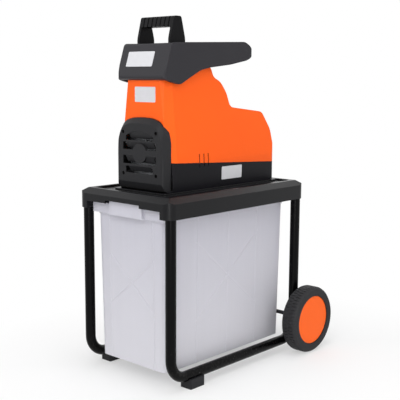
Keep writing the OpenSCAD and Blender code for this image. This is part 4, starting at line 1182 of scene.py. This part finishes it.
@dataclass
class Motor(SubAssembly):
    """The induction motor with its fan and capacitor."""

    sheets: StackedSheet = StackedSheet("stacked sheet", linear(128, 130, 134))
    winding: WoundWire = WoundWire("wound wire", linear(188, 110, 62), (0.0, 622.221 * MM))
    fan: MouldedPlastic = MouldedPlastic("fan plastic", linear(48, 48, 50), 0.5, 0.3)
    shell: MouldedPlastic = MouldedPlastic("capacitor shell", linear(206, 206, 210), 0.35, 0.4)

    def build(self) -> None:
        """Dress the motor."""
        self.dress(GROUND_STEEL, "motor_shaft", "motor_bearings")
        self.dress(self.sheets, "rotor", "stator")
        self.dress(self.winding, "stator_winding")
        self.dress(CAST_ALLOY, "motor_rear_shield")
        self.dress(ZINC, "motor_bolts")
        self.dress(self.fan, "motor_fan")
        self.dress(self.shell, "capacitor")


@dataclass
class Controls(SubAssembly):
    """The rear panel with its buttons, selector and power inlet."""

    outwards: Point = (0.0, 0.9794, 0.20193)
    panel_at: tuple[float, float] = (196 * MM, 610.5 * MM)
    clear_of: float = 100 * MM
    on_x: float = -39 * MM
    off_x: float = -15 * MM
    selector_x: float = 36 * MM
    sign_h: float = 9 * MM
    stroke: float = 1.6 * MM
    bar_thick: float = 0.5 * MM
    bar_round: float = 0.22 * MM
    loop_thick: float = 0.25 * MM
    loop_corners: int = 40
    tick_h: float = 3 * MM
    tick_r: float = 21 * MM
    tick_turns: tuple[int, ...] = (-45, 0, 45)
    panel: MouldedPlastic = MouldedPlastic("panel plastic", linear(36, 36, 38), 0.5, 0.3)
    green: MouldedPlastic = MouldedPlastic("green button", linear(26, 128, 52), 0.3, 0.4)
    red: MouldedPlastic = MouldedPlastic("red button", linear(186, 26, 24), 0.3, 0.4)
    black: MouldedPlastic = MouldedPlastic("black button", linear(30, 30, 31), 0.32, 0.4)
    ink: PlateFilm = PlateFilm("white print", linear(232, 232, 232), 0.45)

    def spot(self, node: str, x: float) -> Matrix:
        """Find the place of a sign at the panel's middle height.

        Args:
            node: what carries the sign.
            x: where it is across the panel.

        Returns:
            The sign's place.
        """
        out = Vector(self.outwards).normalized()
        start = Vector((x, *self.panel_at)) + out * self.clear_of
        point, normal = touched(node, tuple(start), tuple(-out))
        return facing(point, normal, ALONG_Z)

    def bar(self, name: str, width: float, height: float) -> bpy.types.Object:
        """Model a flat bar with round corners.

        Args:
            name: the piece's name.
            width: size across.
            height: size up.

        Returns:
            The bar, flat at the origin.
        """
        Bench.clear()
        bpy.ops.mesh.primitive_cube_add(size=1)
        bpy.context.object.scale = (width, height, self.bar_thick)
        bar = Bench.started(name)
        with Bench.editing(bar, "SELECT"):
            bpy.ops.mesh.bevel(offset=self.bar_round, segments=2, affect="EDGES")
        return bar

    def loop(self, name: str) -> bpy.types.Object:
        """Model a flat ring.

        Args:
            name: the piece's name.

        Returns:
            The ring, flat at the origin.
        """
        Bench.clear()
        bpy.ops.mesh.primitive_circle_add(
            vertices=self.loop_corners, radius=self.sign_h / 2, fill_type="NGON"
        )
        loop = Bench.started(name)
        with Bench.editing(loop, "SELECT"):
            bpy.ops.mesh.inset(thickness=self.stroke)
            bpy.ops.mesh.delete(type="FACE")
            bpy.ops.mesh.select_all(action="SELECT")
            Bench.extrude(self.loop_thick)
            bpy.ops.mesh.select_all(action="SELECT")
            bpy.ops.mesh.normals_make_consistent(inside=False)
        return loop

    def signs(self) -> None:
        """Put plain signs on the two buttons and ticks round the selector."""
        stroke = self.bar("on_sign", self.stroke, self.sign_h)
        Bench.settle(stroke, self.spot("on_button", self.on_x))
        Bench.finished(stroke, self.ink, "on_key", "capacitor_shell")
        loop = self.loop("off_sign")
        Bench.settle(loop, self.spot("off_button", self.off_x))
        Bench.finished(loop, self.ink, "off_key", "capacitor_shell")
        tick = self.bar("tick", self.stroke, self.tick_h)
        Bench.settle(tick, Matrix.Translation((0, self.tick_r, 0)))
        turns = [Matrix.Rotation(math.radians(turn), 4, "Z") for turn in self.tick_turns]
        marks = Bench.joined([Bench.copied(tick, turn) for turn in turns], "selector_ticks")
        bpy.data.objects.remove(tick)
        beside = self.spot("control_panel", self.selector_x + self.tick_r)
        Bench.settle(marks, Matrix.Translation((-self.tick_r, 0, 0)) @ beside)
        Bench.finished(marks, self.ink, "machine", "capacitor_shell")

    def build(self) -> None:
        """Dress the controls and put their signs on."""
        self.dress(self.panel, "control_panel", "power_inlet")
        self.dress(self.green, "on_button")
        self.dress(self.red, "off_button")
        self.dress(self.black, "reset_button", "direction_selector")
        self.dress(BRASS, "inlet_pins")
        self.signs()


@dataclass
class Lamp:
    """A soft lamp that faces the machine, with its sizes in metres and its power in watts."""

    name: str
    place: Point
    wide: float
    tall: float
    power: float
    aim: Point = (0.0, 0.0, 0.5)

    def hang(self) -> None:
        """Hang the lamp in its place."""
        lamp = bpy.data.lights.new(self.name, "AREA")
        lamp.shape, lamp.size, lamp.size_y = "RECTANGLE", self.wide, self.tall
        lamp.energy = self.power
        hung = bpy.data.objects.new(self.name, lamp)
        bpy.context.scene.collection.objects.link(hung)
        way = Vector(self.aim) - Vector(self.place)
        turn = way.to_track_quat("-Z", "Y").to_matrix().to_4x4()
        hung.matrix_world = Matrix.Translation(self.place) @ turn


@dataclass
class Studio:
    """White floor and surround, soft lamps, and the camera at the photograph's angle."""

    eye: Point = (1.5667, -1.734, 0.803)
    yaw: float = 42.44
    pitch: float = 8.43
    roll: float = 0.29
    lens: float = 73.55
    sensor: float = 36.0
    sight: float = 100.0
    around: float = 0.62
    floor_size: float = 40.0
    floor_pale: Rgb = (0.86, 0.86, 0.86)
    floor_dull: float = 0.9
    floor_show: float = 0.4
    footing: tuple[float, float] = (0.16, 0.3)
    fade: float = 0.5
    lamps: list[Lamp] = field(
        default_factory=lambda: [
            Lamp("key", (1.2, -2.3, 2.3), 1.6, 1.6, 28.0),
            Lamp("strip", (1.95, -2.15, 0.6), 0.5, 1.2, 16.0),
            Lamp("fill", (2.6, -0.3, 1.5), 1.8, 1.8, 10.0),
            Lamp("top", (0.3, -0.3, 2.6), 0.8, 0.8, 12.0),
            Lamp("left", (-2.0, -2.0, 1.8), 1.8, 1.8, 9.0),
            Lamp("back", (-1.3, 2.3, 1.9), 1.8, 1.8, 12.0),
        ]
    )

    def floor(self) -> None:
        """Lay a pale floor that stays white to the camera but keeps a soft shadow."""
        Bench.clear()
        bpy.ops.mesh.primitive_plane_add(size=self.floor_size)
        floor = Bench.started("floor")
        with Bench.editing(floor, "SELECT"):
            bpy.ops.mesh.subdivide(number_cuts=3)
        constants = {"Base Color": rgba(self.floor_pale), "Roughness": self.floor_dull}
        surface = Surface("floor", constants)
        white = surface.node("ShaderNodeEmission", {}, {"Color": WHITE, "Strength": 1.0})
        lit = Sock(surface, surface.tree.nodes[Surface.SHADER].outputs[0])
        across, along = surface.part("X"), surface.part("Y")
        beside = across.size() - self.footing[0]
        beyond = along.size() - self.footing[1]
        away = beside.larger(beyond).larger(0.0)
        fade = (away * (1 / self.fade)).clamped()
        share = surface.seen_ray() * (fade * (1 - self.floor_show) + self.floor_show)
        shown = surface.node("ShaderNodeMixShader", {}, {0: share, 1: lit, 2: white})
        surface.link(shown, "Material Output", "Surface")
        floor.data.materials.append(surface.material)

    def surround(self) -> None:
        """Make the world white to the eye and softer as light."""
        world = bpy.data.worlds.new("studio")
        bpy.context.scene.world = world
        world.use_nodes = True
        sheet = NodeSheet(world.node_tree)
        soft, white = (
            sheet.node("ShaderNodeBackground", {}, {"Color": WHITE, "Strength": strength})
            for strength in (self.around, 1.0)
        )
        shown = sheet.node("ShaderNodeMixShader", {}, {0: sheet.seen_ray(), 1: soft, 2: white})
        sheet.link(shown, "World Output", "Surface")

    def camera(self) -> None:
        """Stand the camera where the photograph was taken."""
        data = bpy.data.cameras.new("camera")
        data.lens, data.sensor_width, data.clip_end = self.lens, self.sensor, self.sight
        camera = bpy.data.objects.new("camera", data)
        bpy.context.scene.collection.objects.link(camera)
        yaw, pitch, roll = (math.radians(angle) for angle in (self.yaw, self.pitch, self.roll))
        flat = math.cos(pitch)
        ahead = Vector((-math.sin(yaw) * flat, math.cos(yaw) * flat, -math.sin(pitch)))
        level = Vector((math.cos(yaw), math.sin(yaw), 0))
        above = level.cross(ahead)
        right = level * math.cos(roll) + above * math.sin(roll)
        up = above * math.cos(roll) - level * math.sin(roll)
        turn = Matrix((right, up, -ahead)).transposed().to_4x4()
        camera.matrix_world = Matrix.Translation(self.eye) @ turn
        bpy.context.scene.camera = camera

    def build(self) -> None:
        """Set up floor, light and camera."""
        bpy.context.scene.view_settings.view_transform = "Standard"
        self.floor()
        self.surround()
        for lamp in self.lamps:
            lamp.hang()
        self.camera()


def main() -> None:
    """Build and dress the sub-assemblies, then the studio."""
    logging.basicConfig(level=logging.INFO, format="%(name)s: %(message)s")
    stand: list[SubAssembly] = [TubeFrame(), Deck(), Wheels(), CollectionBox()]
    body: list[SubAssembly] = [BodyShells(), Hopper()]
    drive: list[SubAssembly] = [CutterUnit(), GearTrain(), Motor(), Controls()]
    for assembly in stand + body + drive:
        assembly.build()
    Studio().build()


if __name__ == "__main__":
    main()
